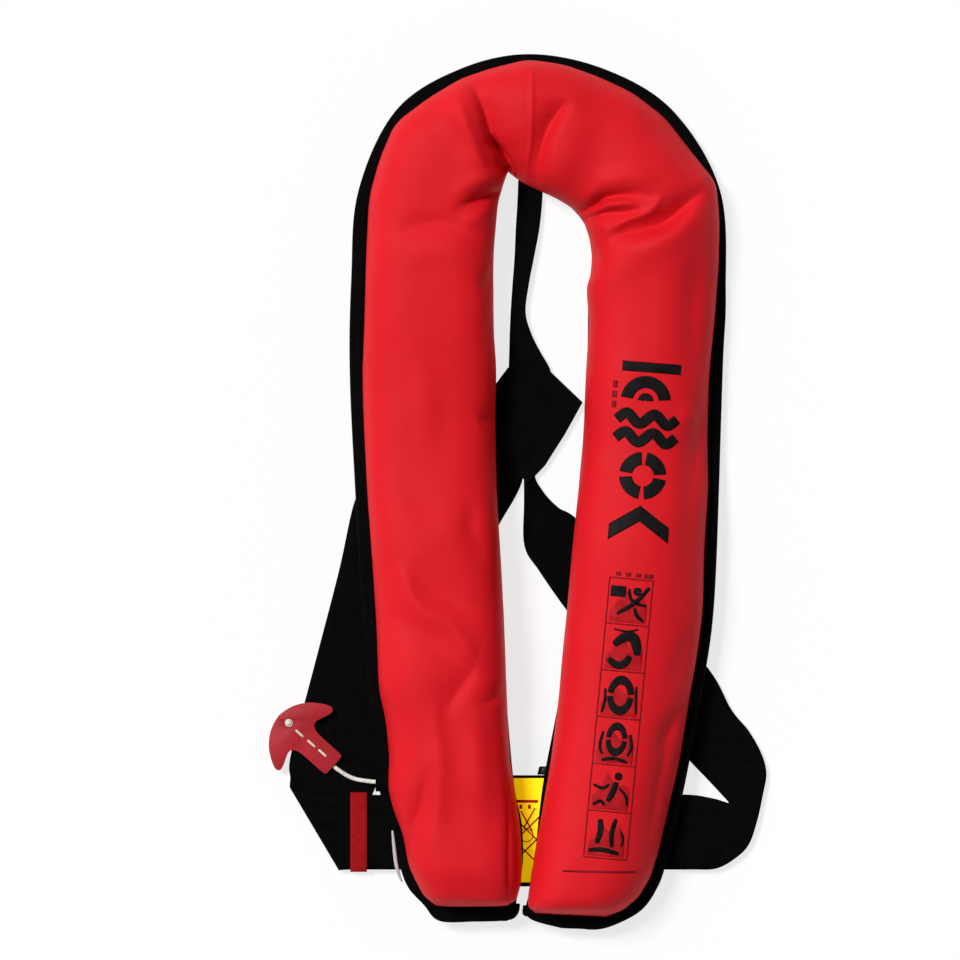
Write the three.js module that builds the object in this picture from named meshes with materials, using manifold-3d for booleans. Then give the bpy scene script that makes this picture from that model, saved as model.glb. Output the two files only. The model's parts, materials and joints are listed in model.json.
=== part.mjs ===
// Inflatable life jacket, packed (not inflated) and lying flat on its back. Millimetres, +Z up.
// +X is to the right as seen from the front, +Y runs from the waist to the collar, and +Z
// points out of the jacket's front. Layers, from the ground up: straps and yoke, waist belt,
// black back panel, inflation gear and bladder, red front cover.

import * as THREE from 'three';
import { mergeVertices } from 'three/addons/utils/BufferGeometryUtils.js';
import Module from 'manifold-3d';

const wasm = await Module();
wasm.setup();

// ---------------------------------------------------------------------------------------
// Driving dimensions

const GAP = 0.3; // kept between neighbours that touch

// The horseshoe's plan: outer edge x, y, inner edge x, y, and the width of black edge that
// shows outside the red cover. It runs from the foot of the left lobe, round the collar, to
// the foot of the right lobe.
const HORSESHOE = [
  [-55, -301, -7, -301, 9],
  [-67, -292, -2, -293, 9],
  [-78, -278, 1, -278, 8],
  [-83.5, -260, 4, -258, 8],
  [-89.5, -235, 3, -232, 8],
  [-98, -205, -2, -207, 8],
  [-102, -165, -6, -165, 9],
  [-107, -120, -9, -120, 9],
  [-113, -20, -15, -20, 10],
  [-118, 80, -16, 80, 10],
  [-117, 150, -17, 150, 10],
  [-112, 211, -16, 190, 10],
  [-86, 267, -11, 209, 10],
  [-42, 296, -4, 220, 8],
  [8, 307, 10, 218, 5],
  [62, 296, 30, 205, 5],
  [109, 267, 46, 188, 7],
  [142, 211, 52, 166, 8],
  [146, 140, 49, 140, 9],
  [144, 90, 48, 90, 9],
  [141, 0, 43, 0, 9],
  [137, -85, 34, -85, 9],
  [129, -140, 29, -140, 8],
  [117, -205, 17, -205, 8],
  [104, -260, 11, -258, 8],
  [97, -279, 8, -279, 8],
  [87, -293, 5, -292, 8],
  [72, -302, 9, -300, 8],
  [56, -307, 30, -306, 7],
];

const BASE_COLLAR = 6; // underside of the back panel at the collar
const BASE_WAIST = 15.5; // and at the waist, where the lobes lie on the buckle
const RAMP_TOP = 40; // the lobes rise from the one to the other between these
const RAMP_FOOT = -40;
const PANEL_THICK = 2;
const COVER_HEIGHT = 42;
const COVER_WALL = 1.6;
const COVER_END = 0.034; // share of the plan left bare at each foot of the cover
const COVER_END_WALL = 0.005; // wall at each foot, as a share of the plan
const COVER_FULLNESS = 2.4; // 2 would be an ellipse, more is squarer
const STATIONS = 56; // cross-sections along the horseshoe

const WEB_THICK = 2;
const STRAP_Z = 1.5; // underside of the side straps and the yoke's straps
const BELT_Z = 5; // underside of the waist belt
const BELT_Y = -238;
const BELT_WIDTH = 50;

const BUCKLE_HEIGHT = 11.5;
const BUCKLE_MOUTH_X = 13;

const CYLINDER_X = -56;
const CYLINDER_Z = 34.3;
const CYLINDER_RADIUS = 16;
const HEAD = { x: [-70, -28], y: [-225, -183], z: [20.7, 47] };
const STEM_X = -38;
const STEM_Y = -205;
const LEVER_PIVOT = [-75, -218];

const ORAL_X = 112;
const ORAL_Z = 31;

const CORD_DIAMETER = 3;
// The pull cord, from the lever's tip, out of the cover's side, down to the strap and along
// it to the toggle.
const CORD_ROUTE = [
  [-79.5, -201.5, 26.5], [-82.3, -201.9, 25.5], [-85, -202.3, 24.4], [-88, -202.7, 23.2],
  [-91, -203, 22.3], [-94, -203.1, 21.8], [-97, -203.2, 21.2], [-99.8, -203.3, 19.6],
  [-102.2, -203.3, 17], [-104.2, -203.2, 14], [-106.1, -203.1, 11], [-108.2, -202.9, 8.2],
  [-110.8, -202.6, 6.3], [-113.8, -202, 5.4], [-117, -200.9, 5.3], [-120.4, -199.2, 5.4],
  [-123.8, -197, 5.7], [-126.8, -194.9, 6.1],
];

// The toggle lies turned on the side strap. Its own axis runs from the crown to the stem.
const TOGGLE_CROWN = [-163.9, -159.1];
const TOGGLE_TURN = -41.8; // degrees
const TOGGLE_THICK = 5;

// ---------------------------------------------------------------------------------------
// Solids and meshes

const group = new THREE.Group();

function toSolid(geometry) {
  const bare = geometry.index ? geometry.toNonIndexed() : geometry.clone();
  bare.deleteAttribute('normal');
  bare.deleteAttribute('uv');
  const merged = mergeVertices(bare, 1e-4);
  return new wasm.Manifold(new wasm.Mesh({
    numProp: 3,
    vertProperties: new Float32Array(merged.attributes.position.array),
    triVerts: new Uint32Array(merged.index.array),
  }));
}

function toGeometry(solid) {
  const mesh = solid.getMesh();
  const geometry = new THREE.BufferGeometry();
  geometry.setAttribute('position', new THREE.BufferAttribute(mesh.vertProperties, 3));
  geometry.setIndex(new THREE.BufferAttribute(mesh.triVerts, 1));
  geometry.computeVertexNormals();
  return geometry;
}

function add(name, solid, finish) {
  const geometry = solid instanceof THREE.BufferGeometry ? solid : toGeometry(solid);
  const mesh = new THREE.Mesh(geometry, new THREE.MeshStandardMaterial(finish));
  mesh.name = name;
  group.add(mesh);
  return mesh;
}

function box([x0, x1], [y0, y1], [z0, z1]) {
  const geometry = new THREE.BoxGeometry(x1 - x0, y1 - y0, z1 - z0);
  geometry.translate((x0 + x1) / 2, (y0 + y1) / 2, (z0 + z1) / 2);
  return toSolid(geometry);
}

function slab(outline, z0, z1, holes = []) {
  const points = outline.map(([x, y]) => new THREE.Vector2(x, y));
  const shape = new THREE.Shape(points);
  shape.holes = holes.map((hole) => new THREE.Path(hole.map(([x, y]) => new THREE.Vector2(x, y))));
  const geometry = new THREE.ExtrudeGeometry(shape, { depth: z1 - z0, bevelEnabled: false });
  geometry.translate(0, 0, z0);
  return toSolid(geometry);
}

// A smooth curve through a few plan points, as a list of points.
function smooth(points, steps) {
  const curve = new THREE.SplineCurve(points.map(([x, y]) => new THREE.Vector2(x, y)));
  return curve.getPoints(steps).map((p) => [p.x, p.y]);
}

function circle([x, y], radius, sides = 20) {
  const points = [];
  for (let i = 0; i < sides; i += 1) {
    const angle = (2 * Math.PI * i) / sides;
    points.push([x + radius * Math.cos(angle), y + radius * Math.sin(angle)]);
  }
  return points;
}

// A solid of revolution about an axis parallel to Y. The profile is [radius, y] pairs.
function turnedAlongY(profile, x, z, sides = 24) {
  const points = profile.map(([r, y]) => new THREE.Vector2(r, y));
  const geometry = new THREE.LatheGeometry(points, sides);
  geometry.translate(x, 0, z);
  return oriented(geometry);
}

// The same about an axis parallel to Z. The profile is [radius, z] pairs.
function turnedAlongZ(profile, x, y, sides = 24) {
  const points = profile.map(([r, z]) => new THREE.Vector2(r, z));
  const geometry = new THREE.LatheGeometry(points, sides);
  geometry.rotateX(Math.PI / 2);
  geometry.translate(x, y, 0);
  return oriented(geometry);
}

function signedVolume(geometry) {
  const flat = geometry.index ? geometry.toNonIndexed() : geometry;
  const at = flat.attributes.position;
  const [a, b, c] = [new THREE.Vector3(), new THREE.Vector3(), new THREE.Vector3()];
  let sum = 0;
  for (let i = 0; i < at.count; i += 3) {
    a.fromBufferAttribute(at, i);
    b.fromBufferAttribute(at, i + 1);
    c.fromBufferAttribute(at, i + 2);
    sum += a.dot(b.cross(c)) / 6;
  }
  return sum;
}

function dropSlivers(geometry) {
  geometry.deleteAttribute('normal');
  geometry.deleteAttribute('uv');
  const merged = mergeVertices(geometry, 1e-4);
  const kept = [];
  const index = merged.index.array;
  for (let i = 0; i < index.length; i += 3) {
    const [a, b, c] = [index[i], index[i + 1], index[i + 2]];
    if (a !== b && b !== c && c !== a) {
      kept.push(a, b, c);
    }
  }
  merged.setIndex(kept);
  return merged;
}

function oriented(geometry) {
  const clean = dropSlivers(geometry);
  if (signedVolume(clean) < 0) {
    const index = clean.index.array;
    for (let i = 0; i < index.length; i += 3) {
      [index[i], index[i + 1]] = [index[i + 1], index[i]];
    }
  }
  return toSolid(clean);
}

// A closed solid through rings of points, one ring for each section. Each section is also
// given flat, as [d, z] pairs, so that the two ends can be closed.
function loft(rings, flatEnds) {
  const count = rings[0].length;
  const positions = rings.flat().flatMap((p) => [p.x, p.y, p.z]);
  const index = [];
  for (let i = 0; i + 1 < rings.length; i += 1) {
    for (let j = 0; j < count; j += 1) {
      const k = (j + 1) % count;
      const [a, b, c, d] = [i * count + j, i * count + k, (i + 1) * count + k, (i + 1) * count + j];
      index.push(a, b, c, a, c, d);
    }
  }
  const last = (rings.length - 1) * count;
  const [startFaces, endFaces] = flatEnds.map((flat) => {
    const contour = flat.map(([d, z]) => new THREE.Vector2(d, z));
    return THREE.ShapeUtils.triangulateShape(contour, []);
  });
  const forward = THREE.ShapeUtils.area(flatEnds[0].map(([x, y]) => ({ x, y }))) > 0;
  for (const [a, b, c] of startFaces) {
    index.push(...(forward ? [a, c, b] : [a, b, c]));
  }
  for (const [a, b, c] of endFaces) {
    index.push(...(forward ? [last + a, last + b, last + c] : [last + a, last + c, last + b]));
  }
  const geometry = new THREE.BufferGeometry();
  geometry.setAttribute('position', new THREE.Float32BufferAttribute(positions, 3));
  geometry.setIndex(index);
  return oriented(geometry);
}

// A tube of round section along a smooth route.
function tube(route, diameter, steps, sides) {
  const curve = new THREE.CatmullRomCurve3(route.map((p) => new THREE.Vector3(...p)));
  const section = new THREE.Shape(
    circle([0, 0], diameter / 2, sides).map(([x, y]) => new THREE.Vector2(x, y)),
  );
  return toSolid(new THREE.ExtrudeGeometry(section, { steps, extrudePath: curve, bevelEnabled: false }));
}

// ---------------------------------------------------------------------------------------
// The horseshoe

const outerEdge = new THREE.SplineCurve(HORSESHOE.map(([x, y]) => new THREE.Vector2(x, y)));
const innerEdge = new THREE.SplineCurve(HORSESHOE.map(([, , x, y]) => new THREE.Vector2(x, y)));
const edgeWidth = new THREE.SplineCurve(HORSESHOE.map(([, , , , w]) => new THREE.Vector2(w, 0)));

function panelBase(y) {
  return BASE_COLLAR + (BASE_WAIST - BASE_COLLAR) * (1 - THREE.MathUtils.smoothstep(y, RAMP_FOOT, RAMP_TOP));
}

// One cross-section of the horseshoe at t from 0 to 1: d runs outward from the inner edge.
function sectionAt(t) {
  const inner = innerEdge.getPoint(t);
  const outer = outerEdge.getPoint(t);
  const across = outer.clone().sub(inner);
  const width = across.length();
  across.normalize();
  const base = panelBase((inner.y + outer.y) / 2);
  const place = ([d, z]) => new THREE.Vector3(inner.x + across.x * d, inner.y + across.y * d, z);
  return { width, base, top: base + PANEL_THICK, edge: edgeWidth.getPoint(t).x, place, t };
}

// Sections at both limits and at every shared station between them, so that layers that lie
// on each other bend at the same places.
function sections(from, to) {
  const places = [from];
  for (let i = 1; i < STATIONS; i += 1) {
    const t = i / STATIONS;
    if (t > from + 0.002 && t < to - 0.002) {
      places.push(t);
    }
  }
  places.push(to);
  return places.map(sectionAt);
}

function sweep(list, profile) {
  const flats = list.map(profile);
  const rings = flats.map((flat, i) => flat.map(list[i].place));
  return loft(rings, [flats[0], flats[flats.length - 1]]);
}

// A pillow-like arch over the stretch d0 to d1, standing on z0, with an optional skirt below.
function arch(d0, d1, z0, height, steps, skirt = 0) {
  const middle = (d0 + d1) / 2;
  const half = (d1 - d0) / 2;
  const power = 2 / COVER_FULLNESS;
  const points = [];
  for (let i = 0; i <= steps; i += 1) {
    const angle = (Math.PI * i) / steps;
    const c = Math.cos(angle);
    const s = Math.max(0, Math.sin(angle));
    points.push([middle + half * Math.sign(c) * Math.abs(c) ** power, z0 + height * s ** power]);
  }
  if (skirt > 0) {
    points.push([d0, z0 - skirt], [d1, z0 - skirt]);
  }
  return points;
}

// The cover's height falls away towards each foot of the horseshoe.
function coverHeight(t) {
  const fromEnd = Math.min(t, 1 - t) - COVER_END;
  const rise = THREE.MathUtils.clamp(fromEnd / 0.09, 0, 1);
  return COVER_HEIGHT * (0.42 + 0.58 * Math.sqrt(1 - (1 - rise) ** 2));
}

const RED = { color: 0xd81f2c, roughness: 0.55, metalness: 0 };
const BLACK_CLOTH = { color: 0x0a0a0b, roughness: 0.85, metalness: 0 };
const BLACK_PLASTIC = { color: 0x111214, roughness: 0.4, metalness: 0 };
const YELLOW = { color: 0xf2d20a, roughness: 0.6, metalness: 0 };
const STEEL = { color: 0xb8bcc0, roughness: 0.3, metalness: 1 };
const DARK_RED = { color: 0x8d1820, roughness: 0.6, metalness: 0 };

// The cover's stations stand closer together near its feet, where its height changes fast.
function coverSections(inset) {
  const near = [];
  for (let extra = inset; extra < 0.02; extra += COVER_END_WALL) {
    near.push(COVER_END + extra);
  }
  const middle = sections(COVER_END + 0.02, 1 - COVER_END - 0.02);
  const far = near.map((t) => 1 - t).reverse();
  return [...near.map(sectionAt), ...middle, ...far.map(sectionAt)];
}

function frontCover() {
  const outer = sweep(coverSections(0), (s) => {
    return arch(1, s.width - s.edge, s.top + GAP, coverHeight(s.t), 16);
  });
  const inner = sweep(coverSections(COVER_END_WALL), (s) => {
    const height = coverHeight(s.t) - COVER_WALL;
    return arch(1 + COVER_WALL, s.width - s.edge - COVER_WALL, s.top + GAP, height, 16, 2);
  });
  const cordSlot = box([-102, -80], [-208, -196.5], [10, 29.5]);
  return outer.subtract(inner).subtract(cordSlot);
}

function backPanel() {
  return sweep(sections(0, 1), (s) => {
    return [[0.5, s.base], [s.width - 1.5, s.base], [s.width - 1.5, s.top], [0.5, s.top]];
  });
}

// Folded tape round the panel's outer edge, open towards the inside.
function edgeBinding() {
  const tape = 0.9;
  return sweep(sections(0, 1), (s) => {
    const arm = s.width - s.edge + 0.6;
    const [low, high] = [s.base - GAP, s.top + GAP];
    return [
      [arm, low - tape], [s.width, low - tape], [s.width, high + tape], [arm, high + tape],
      [arm, high], [s.width - tape, high], [s.width - tape, low], [arm, low],
    ];
  });
}

// Hook and loop tapes that close the cover along its outer side, loop below and hook above.
function closureTape(level) {
  return sweep(sections(0.12, 0.88), (s) => {
    const d1 = s.width - s.edge - COVER_WALL - 1;
    const z0 = s.top + 0.3 + level * 1.3;
    return [[d1 - 9, z0], [d1, z0], [d1, z0 + 1], [d1 - 9, z0 + 1]];
  });
}

// The folded bladder: full in the collar, a narrow tail beside the inflator in the left lobe,
// and clear of the oral tube and whistle in the right lobe.
function bladder() {
  return sweep(sections(0.08, 0.9), (s) => {
    const { y } = s.place([s.width / 2, 0]);
    const leftTail = s.t < 0.5 ? 1 - THREE.MathUtils.smoothstep(y, -40, 20) : 0;
    const rightTail = s.t > 0.5 ? 1 - THREE.MathUtils.smoothstep(y, 60, 90) : 0;
    const inside = THREE.MathUtils.lerp(9, 5.5, leftTail);
    const outside = s.width - s.edge - 14 - 25 * rightTail;
    const d1 = THREE.MathUtils.lerp(outside, 19.5, leftTail);
    const height = THREE.MathUtils.lerp(33, 20, leftTail);
    return arch(inside, d1, s.top + 3.2, height, 10);
  });
}

// ---------------------------------------------------------------------------------------
// Inflation gear in the left lobe

function bladderManifold() {
  return turnedAlongZ([[0, 17.9], [16, 17.9], [16, 20.3], [7, 20.3], [7, 53], [0, 53]], STEM_X, STEM_Y);
}

function firingHead() {
  const body = box(HEAD.x, HEAD.y, HEAD.z);
  const lug = box([LEVER_PIVOT[0] - 5, HEAD.x[0] + 1], [-223, -213], [HEAD.z[0], 24.5]);
  const stemBore = turnedAlongZ([[0, 15], [7.3, 15], [7.3, 60], [0, 60]], STEM_X, STEM_Y);
  const pinBore = turnedAlongY(
    [[0, -230], [9, -230], [9, -196], [3.2, -196], [3.2, -193], [7.9, -193], [7.9, -180], [0, -180]],
    CYLINDER_X, CYLINDER_Z,
  );
  const leverBore = slab(circle(LEVER_PIVOT, 2.1), 18, 30);
  return body.add(lug).subtract(stemBore).subtract(pinBore).subtract(leverBore);
}

function retainingNut() {
  return turnedAlongZ([[7.3, 47.3], [11, 47.3], [11, 52], [7.3, 52], [7.3, 47.3]], STEM_X, STEM_Y, 12);
}

function co2Cylinder() {
  const r = CYLINDER_RADIUS;
  return turnedAlongY(
    [
      [0, -185], [3.3, -185], [3.3, -192.5], [7.5, -192.5], [7.5, -180], [10.5, -173], [14.5, -166.5],
      [r, -158], [r, -66], [14.5, -57], [9, -51], [0, -49],
    ],
    CYLINDER_X, CYLINDER_Z,
  );
}

function firingLever() {
  const [x, y] = LEVER_PIVOT;
  const arm = [
    [x - 4, y], [x - 3.2, y - 3], [x, y - 4.4], [x + 3.2, y - 3], [x + 4, y], [x + 2.6, y + 18],
    [x + 1, y + 20], [x - 1.6, y + 20], [x - 3, y + 18],
  ];
  return slab(arm, 24.8, 29.8, [circle([x, y], 2.1), circle([x, y + 15.5], 1.2, 10)]);
}

function leverPin() {
  return turnedAlongZ(
    [[0, HEAD.z[0] + 0.4], [1.8, HEAD.z[0] + 0.4], [1.8, 30.1], [3.2, 30.1], [3.2, 31.3], [0, 31.3]],
    ...LEVER_PIVOT, 14,
  );
}

function firingPin() {
  return turnedAlongY(
    [[0, -207], [7.6, -207], [7.6, -204], [2.6, -204], [2.6, -196], [0, -193]], CYLINDER_X, CYLINDER_Z, 16,
  );
}

function pinSpring() {
  const turns = 5;
  const route = [];
  for (let i = 0; i <= turns * 8; i += 1) {
    const angle = (2 * Math.PI * i) / 8;
    const y = -222.5 + (14 * i) / (turns * 8);
    route.push([CYLINDER_X + 6 * Math.cos(angle), y, CYLINDER_Z + 6 * Math.sin(angle)]);
  }
  return tube(route, 1.4, turns * 12, 6);
}

function bobbin() {
  return turnedAlongY(
    [[0, -238], [8.4, -238], [8.4, -235], [5.5, -234], [5.5, -229], [8.4, -228], [8.4, -225], [0, -225]],
    CYLINDER_X, CYLINDER_Z, 20,
  );
}

function bobbinCap() {
  return turnedAlongY(
    [[0, -243], [11, -243], [12, -241], [12, -225.4], [9.3, -225.4], [9.3, -239.5], [0, -239.5]],
    CYLINDER_X, CYLINDER_Z, 20,
  );
}

// ---------------------------------------------------------------------------------------
// Oral tube and whistle in the right lobe

function oralTube() {
  return turnedAlongY([[4.5, -80], [6.5, -80], [6.5, 50], [4.5, 50], [4.5, -80]], ORAL_X, ORAL_Z, 18);
}

function oralFlange() {
  return turnedAlongY(
    [[0, 50.3], [12, 50.3], [12, 52.6], [8, 54], [8, 60], [0, 62]], ORAL_X, ORAL_Z - 1, 18,
  );
}

function oralValve() {
  return turnedAlongY(
    [[0, -79.8], [2, -79.8], [2, -76.5], [4.2, -75.5], [4.2, -68], [0, -66]], ORAL_X, ORAL_Z, 16,
  );
}

function oralCap() {
  return turnedAlongY(
    [[0, -86], [8, -86], [9.3, -84.5], [9.3, -66], [6.9, -66], [6.9, -82.5], [0, -82.5]],
    ORAL_X, ORAL_Z, 18,
  );
}

const WHISTLE = { x: [89, 105], y: [-166, -122], z: [22, 33] };

function whistle() {
  const body = box(WHISTLE.x, WHISTLE.y, WHISTLE.z);
  const middle = (WHISTLE.x[0] + WHISTLE.x[1]) / 2;
  const windway = box([middle - 5, middle + 5], [-150, -121], [25.5, 29.5]);
  const sound = box([middle - 5, middle + 5], [-146, -140], [27, 40]);
  const eye = slab(circle([middle, -161], 2, 12), 20, 40);
  return body.subtract(windway).subtract(sound).subtract(eye);
}

function whistleLanyard() {
  const middle = (WHISTLE.x[0] + WHISTLE.x[1]) / 2;
  return tube(
    [
      [middle, -166.8, 25], [middle - 1, -174, 22], [middle - 7, -180, 19.3], [middle - 19, -180, 19.2],
      [middle - 33, -170, 19.2],
    ],
    1.8, 16, 6,
  );
}

// ---------------------------------------------------------------------------------------
// Straps

// Webbing that lies in two layers joined along a fold: the belt above, the side strap below.
function foldedWebbing(belt, strap, fold) {
  const upper = slab(belt, BELT_Z, BELT_Z + WEB_THICK);
  const lower = slab(strap, STRAP_Z, STRAP_Z + WEB_THICK);
  const turn = slab(fold, STRAP_Z, BELT_Z + WEB_THICK);
  return upper.add(lower).add(turn);
}

const BELT_TOP = BELT_Y + BELT_WIDTH / 2;
const BELT_FOOT = BELT_Y - BELT_WIDTH / 2;

function webbingLeft() {
  const foldTop = [-159, -209];
  const foldFoot = [-124.6, BELT_FOOT];
  const belt = [[-25, BELT_FOOT], [-25, BELT_TOP], [-150, BELT_TOP + 1], foldTop, foldFoot];
  const outside = smooth(
    [foldTop, [-160.3, -191], [-149, -146], [-140, -111], [-125.3, -55], [-114, -5]], 15,
  );
  const inside = smooth([[-66, 2], [-69, -60], [-76, -110], [-86, -165], [-103.6, -216], foldFoot], 15);
  const fold = [foldTop, foldFoot, [foldFoot[0] + 3, foldFoot[1]], [foldTop[0] + 3, foldTop[1] + 1]];
  return foldedWebbing(belt, [...outside, ...inside], fold);
}

function webbingRight() {
  const foldFoot = [141.4, BELT_FOOT];
  const turn = smooth([foldFoot, [158, -253], [167, -235], [170.5, -218], [175, -197]], 10);
  const belt = [[14.6, BELT_TOP], [14.6, BELT_FOOT], ...turn.slice(0, 9), [147, -217], [112, BELT_TOP]];
  const outside = smooth(
    [
      [175, -197], [170, -181], [150, -153], [132.3, -121.5], [86, -70], [39.2, -27], [18.5, 0],
      [10, 14],
    ], 20,
  );
  const inside = smooth(
    [[4.2, 2], [4.4, -40], [34.3, -83], [70, -132], [120.8, -189.3], [147, -218.3]], 16,
  );
  const strap = [...turn, ...outside.slice(1), [10, 48.5], [4.2, 48.5], ...inside];
  const fold = [...turn.slice(0, 9), ...turn.slice(0, 9).reverse().map(([x, y]) => [x - 3, y + 0.5])];
  return foldedWebbing(belt, strap, fold);
}

function yokeStrapLeft() {
  const outline = [
    [3.6, 8], [-13, -23], [-60, -109], [-60, -30], [-46.4, -4.9], [-28.5, 28.1], [-17.5, 48.5], [3.6, 48.5],
  ];
  return slab(outline, STRAP_Z, STRAP_Z + WEB_THICK);
}

// The back strap hangs from the collar, where its end is folded under itself.
function backStrap() {
  const left = smooth([[-6, 49], [-6, 92], [-5, 127], [-1.5, 188], [0, 238]], 10);
  const right = smooth([[17.5, 238], [15.5, 188], [5, 127], [12, 92], [14, 49]], 10);
  const strap = slab([...left, ...right], STRAP_Z, STRAP_Z + WEB_THICK);
  const foldedEnd = box([-4, 24], [224, 262], [0, 5]);
  return strap.add(foldedEnd);
}

const YOKE_OUTLINE = [[7, 86], [45, 62], [7, 9], [-30, 55]];

function yokePatchFront() {
  return slab(YOKE_OUTLINE, STRAP_Z + WEB_THICK + GAP, STRAP_Z + WEB_THICK + GAP + 1.3);
}

function yokePatchBack() {
  return slab(YOKE_OUTLINE, 0, STRAP_Z - GAP);
}

function hollowLoop(x, y, z, wall) {
  const grown = (range, by) => [range[0] - by, range[1] + by];
  return box(x, grown(y, wall), grown(z, wall)).subtract(box(grown(x, 5), y, z));
}

// Loops of webbing under each lobe that carry the belt.
function beltLoop(x) {
  const y = [BELT_FOOT - 1.5, BELT_TOP + 1.5];
  return hollowLoop(x, y, [BELT_Z - 0.8, 13.6], 1.2);
}

const KEEPER_X = [-117.6, -106];

function beltKeeper() {
  return hollowLoop(KEEPER_X, [BELT_FOOT - 0.6, BELT_TOP + 0.9], [4.7, 7.4], 0.9);
}

// ---------------------------------------------------------------------------------------
// Waist buckle, behind the label

function buckleSocket() {
  const shell = box([-34, BUCKLE_MOUTH_X], [BELT_Y - 31, BELT_Y + 31], [0, BUCKLE_HEIGHT]);
  const cavity = box([-20, 20], [BELT_Y - 25.4, BELT_Y + 25.4], [7.3, 10.3]);
  const windows = box([-15, 0], [BELT_Y - 40, BELT_Y + 40], [7.3, 10.3]);
  const webSlot = box([-40, -24.5], [BELT_Y - 25.6, BELT_Y + 25.6], [BELT_Z - GAP, BELT_Z + WEB_THICK + GAP]);
  return shell.subtract(cavity).subtract(windows).subtract(webSlot);
}

function bucklePlug() {
  const base = box([BUCKLE_MOUTH_X + 0.4, 38], [BELT_Y - 29, BELT_Y + 29], [0, BUCKLE_HEIGHT]);
  const webSlot = box([5, 45], [BELT_Y - 25.6, BELT_Y + 25.6], [BELT_Z - GAP, BELT_Z + WEB_THICK + GAP]);
  const tongue = box([-13, BUCKLE_MOUTH_X + 2], [BELT_Y - 8, BELT_Y + 8], [7.6, 10]);
  return base.subtract(webSlot).add(tongue);
}

function buckleProng(side) {
  const outline = [
    [12.7, 19.5], [12.7, 24.4], [-4, 24.4], [-14, 24.9], [-17, 22], [-17, 17], [-6, 17], [-4, 20.5],
  ].map(([x, y]) => [x, BELT_Y + side * y]);
  return slab(side > 0 ? outline : outline.reverse(), 7.6, 10);
}

// ---------------------------------------------------------------------------------------
// Label, stud and edge strip

function labelBacking() {
  return slab([[-10, -277], [26, -277], [30, -199], [-12, -199]], 11.9, 13.2);
}

function yellowLabel() {
  return slab([[-6, -274], [22, -274], [25, -201], [-9, -201]], 13.5, 14.3);
}

function pressStud() {
  return turnedAlongZ([[0, 13.5], [3, 13.5], [3, 14.6], [1.8, 15.2], [0, 15.2]], 19, -196, 16);
}

function studTab() {
  return slab([[9, -198.4], [29, -198.4], [29, -191], [9, -191]], 11.9, 13.2);
}

// A thin piping that follows the left lobe's outer edge beside the belt.
function edgeStrip() {
  const radius = 1.1;
  const route = [];
  for (let t = 0.08; t < 0.142; t += 0.01) {
    const point = outerEdge.getPoint(t);
    const along = outerEdge.getTangent(t);
    const out = radius + GAP + 0.1;
    route.push([point.x - along.y * out, point.y + along.x * out, BASE_WAIST + 1]);
  }
  return tube(route, 2 * radius, 12, 8);
}

// ---------------------------------------------------------------------------------------
// Pull toggle and cord

function pullToggle() {
  // x runs from the crown down the stem, y across it
  const roundedBack = smooth([[0, 0], [2.5, 11], [10, 21.5], [20.5, 28.6]], 8);
  const flukeAndStem = [[25.5, 28.4], [26, 24], [22.5, 15], [23, 10.4], [30, 8.9], [47.5, 8.9], [49, 6]];
  const upper = [...roundedBack, ...flukeAndStem];
  const lower = upper.slice(1).reverse().map(([x, y]) => [x, -y]);
  const turn = THREE.MathUtils.degToRad(TOGGLE_TURN);
  const place = ([x, y]) => [
    TOGGLE_CROWN[0] + x * Math.cos(turn) - y * Math.sin(turn),
    TOGGLE_CROWN[1] + x * Math.sin(turn) + y * Math.cos(turn),
  ];
  const z0 = STRAP_Z + WEB_THICK + GAP;
  const outline = [...upper, ...lower].map(place);
  return slab(outline, z0, z0 + TOGGLE_THICK, [circle(place([8.7, 1]), 2.8)]);
}

function pullCord() {
  return tube(CORD_ROUTE, CORD_DIAMETER, 24, 8);
}

// ---------------------------------------------------------------------------------------
// The assembly

add('front_cover', frontCover(), RED);
add('back_panel', backPanel(), BLACK_CLOTH);
add('edge_binding', edgeBinding(), BLACK_CLOTH);
add('closure_loop_tape', closureTape(0), BLACK_CLOTH);
add('closure_hook_tape', closureTape(1), BLACK_CLOTH);
add('bladder', bladder(), YELLOW);
add('bladder_manifold', bladderManifold(), BLACK_PLASTIC);
add('firing_head', firingHead(), BLACK_PLASTIC);
add('retaining_nut', retainingNut(), BLACK_PLASTIC);
add('co2_cylinder', co2Cylinder(), STEEL);
add('firing_lever', firingLever(), BLACK_PLASTIC);
add('lever_pin', leverPin(), STEEL);
add('firing_pin', firingPin(), STEEL);
add('pin_spring', pinSpring(), STEEL);
add('bobbin', bobbin(), YELLOW);
add('bobbin_cap', bobbinCap(), YELLOW);
add('oral_tube', oralTube(), BLACK_PLASTIC);
add('oral_flange', oralFlange(), BLACK_PLASTIC);
add('oral_valve', oralValve(), BLACK_PLASTIC);
add('oral_cap', oralCap(), BLACK_PLASTIC);
add('whistle', whistle(), YELLOW);
add('whistle_lanyard', whistleLanyard(), BLACK_CLOTH);
add('webbing_left', webbingLeft(), BLACK_CLOTH);
add('webbing_right', webbingRight(), BLACK_CLOTH);
add('yoke_strap_left', yokeStrapLeft(), BLACK_CLOTH);
add('back_strap', backStrap(), BLACK_CLOTH);
add('yoke_patch_front', yokePatchFront(), BLACK_CLOTH);
add('yoke_patch_back', yokePatchBack(), BLACK_CLOTH);
add('belt_loop_left', beltLoop([-74, -46]), BLACK_CLOTH);
add('belt_loop_right', beltLoop([74, 90]), BLACK_CLOTH);
add('belt_keeper', beltKeeper(), DARK_RED);
add('buckle_socket', buckleSocket(), BLACK_PLASTIC);
add('buckle_plug', bucklePlug(), BLACK_PLASTIC);
add('buckle_prong_upper', buckleProng(1), BLACK_PLASTIC);
add('buckle_prong_lower', buckleProng(-1), BLACK_PLASTIC);
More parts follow.
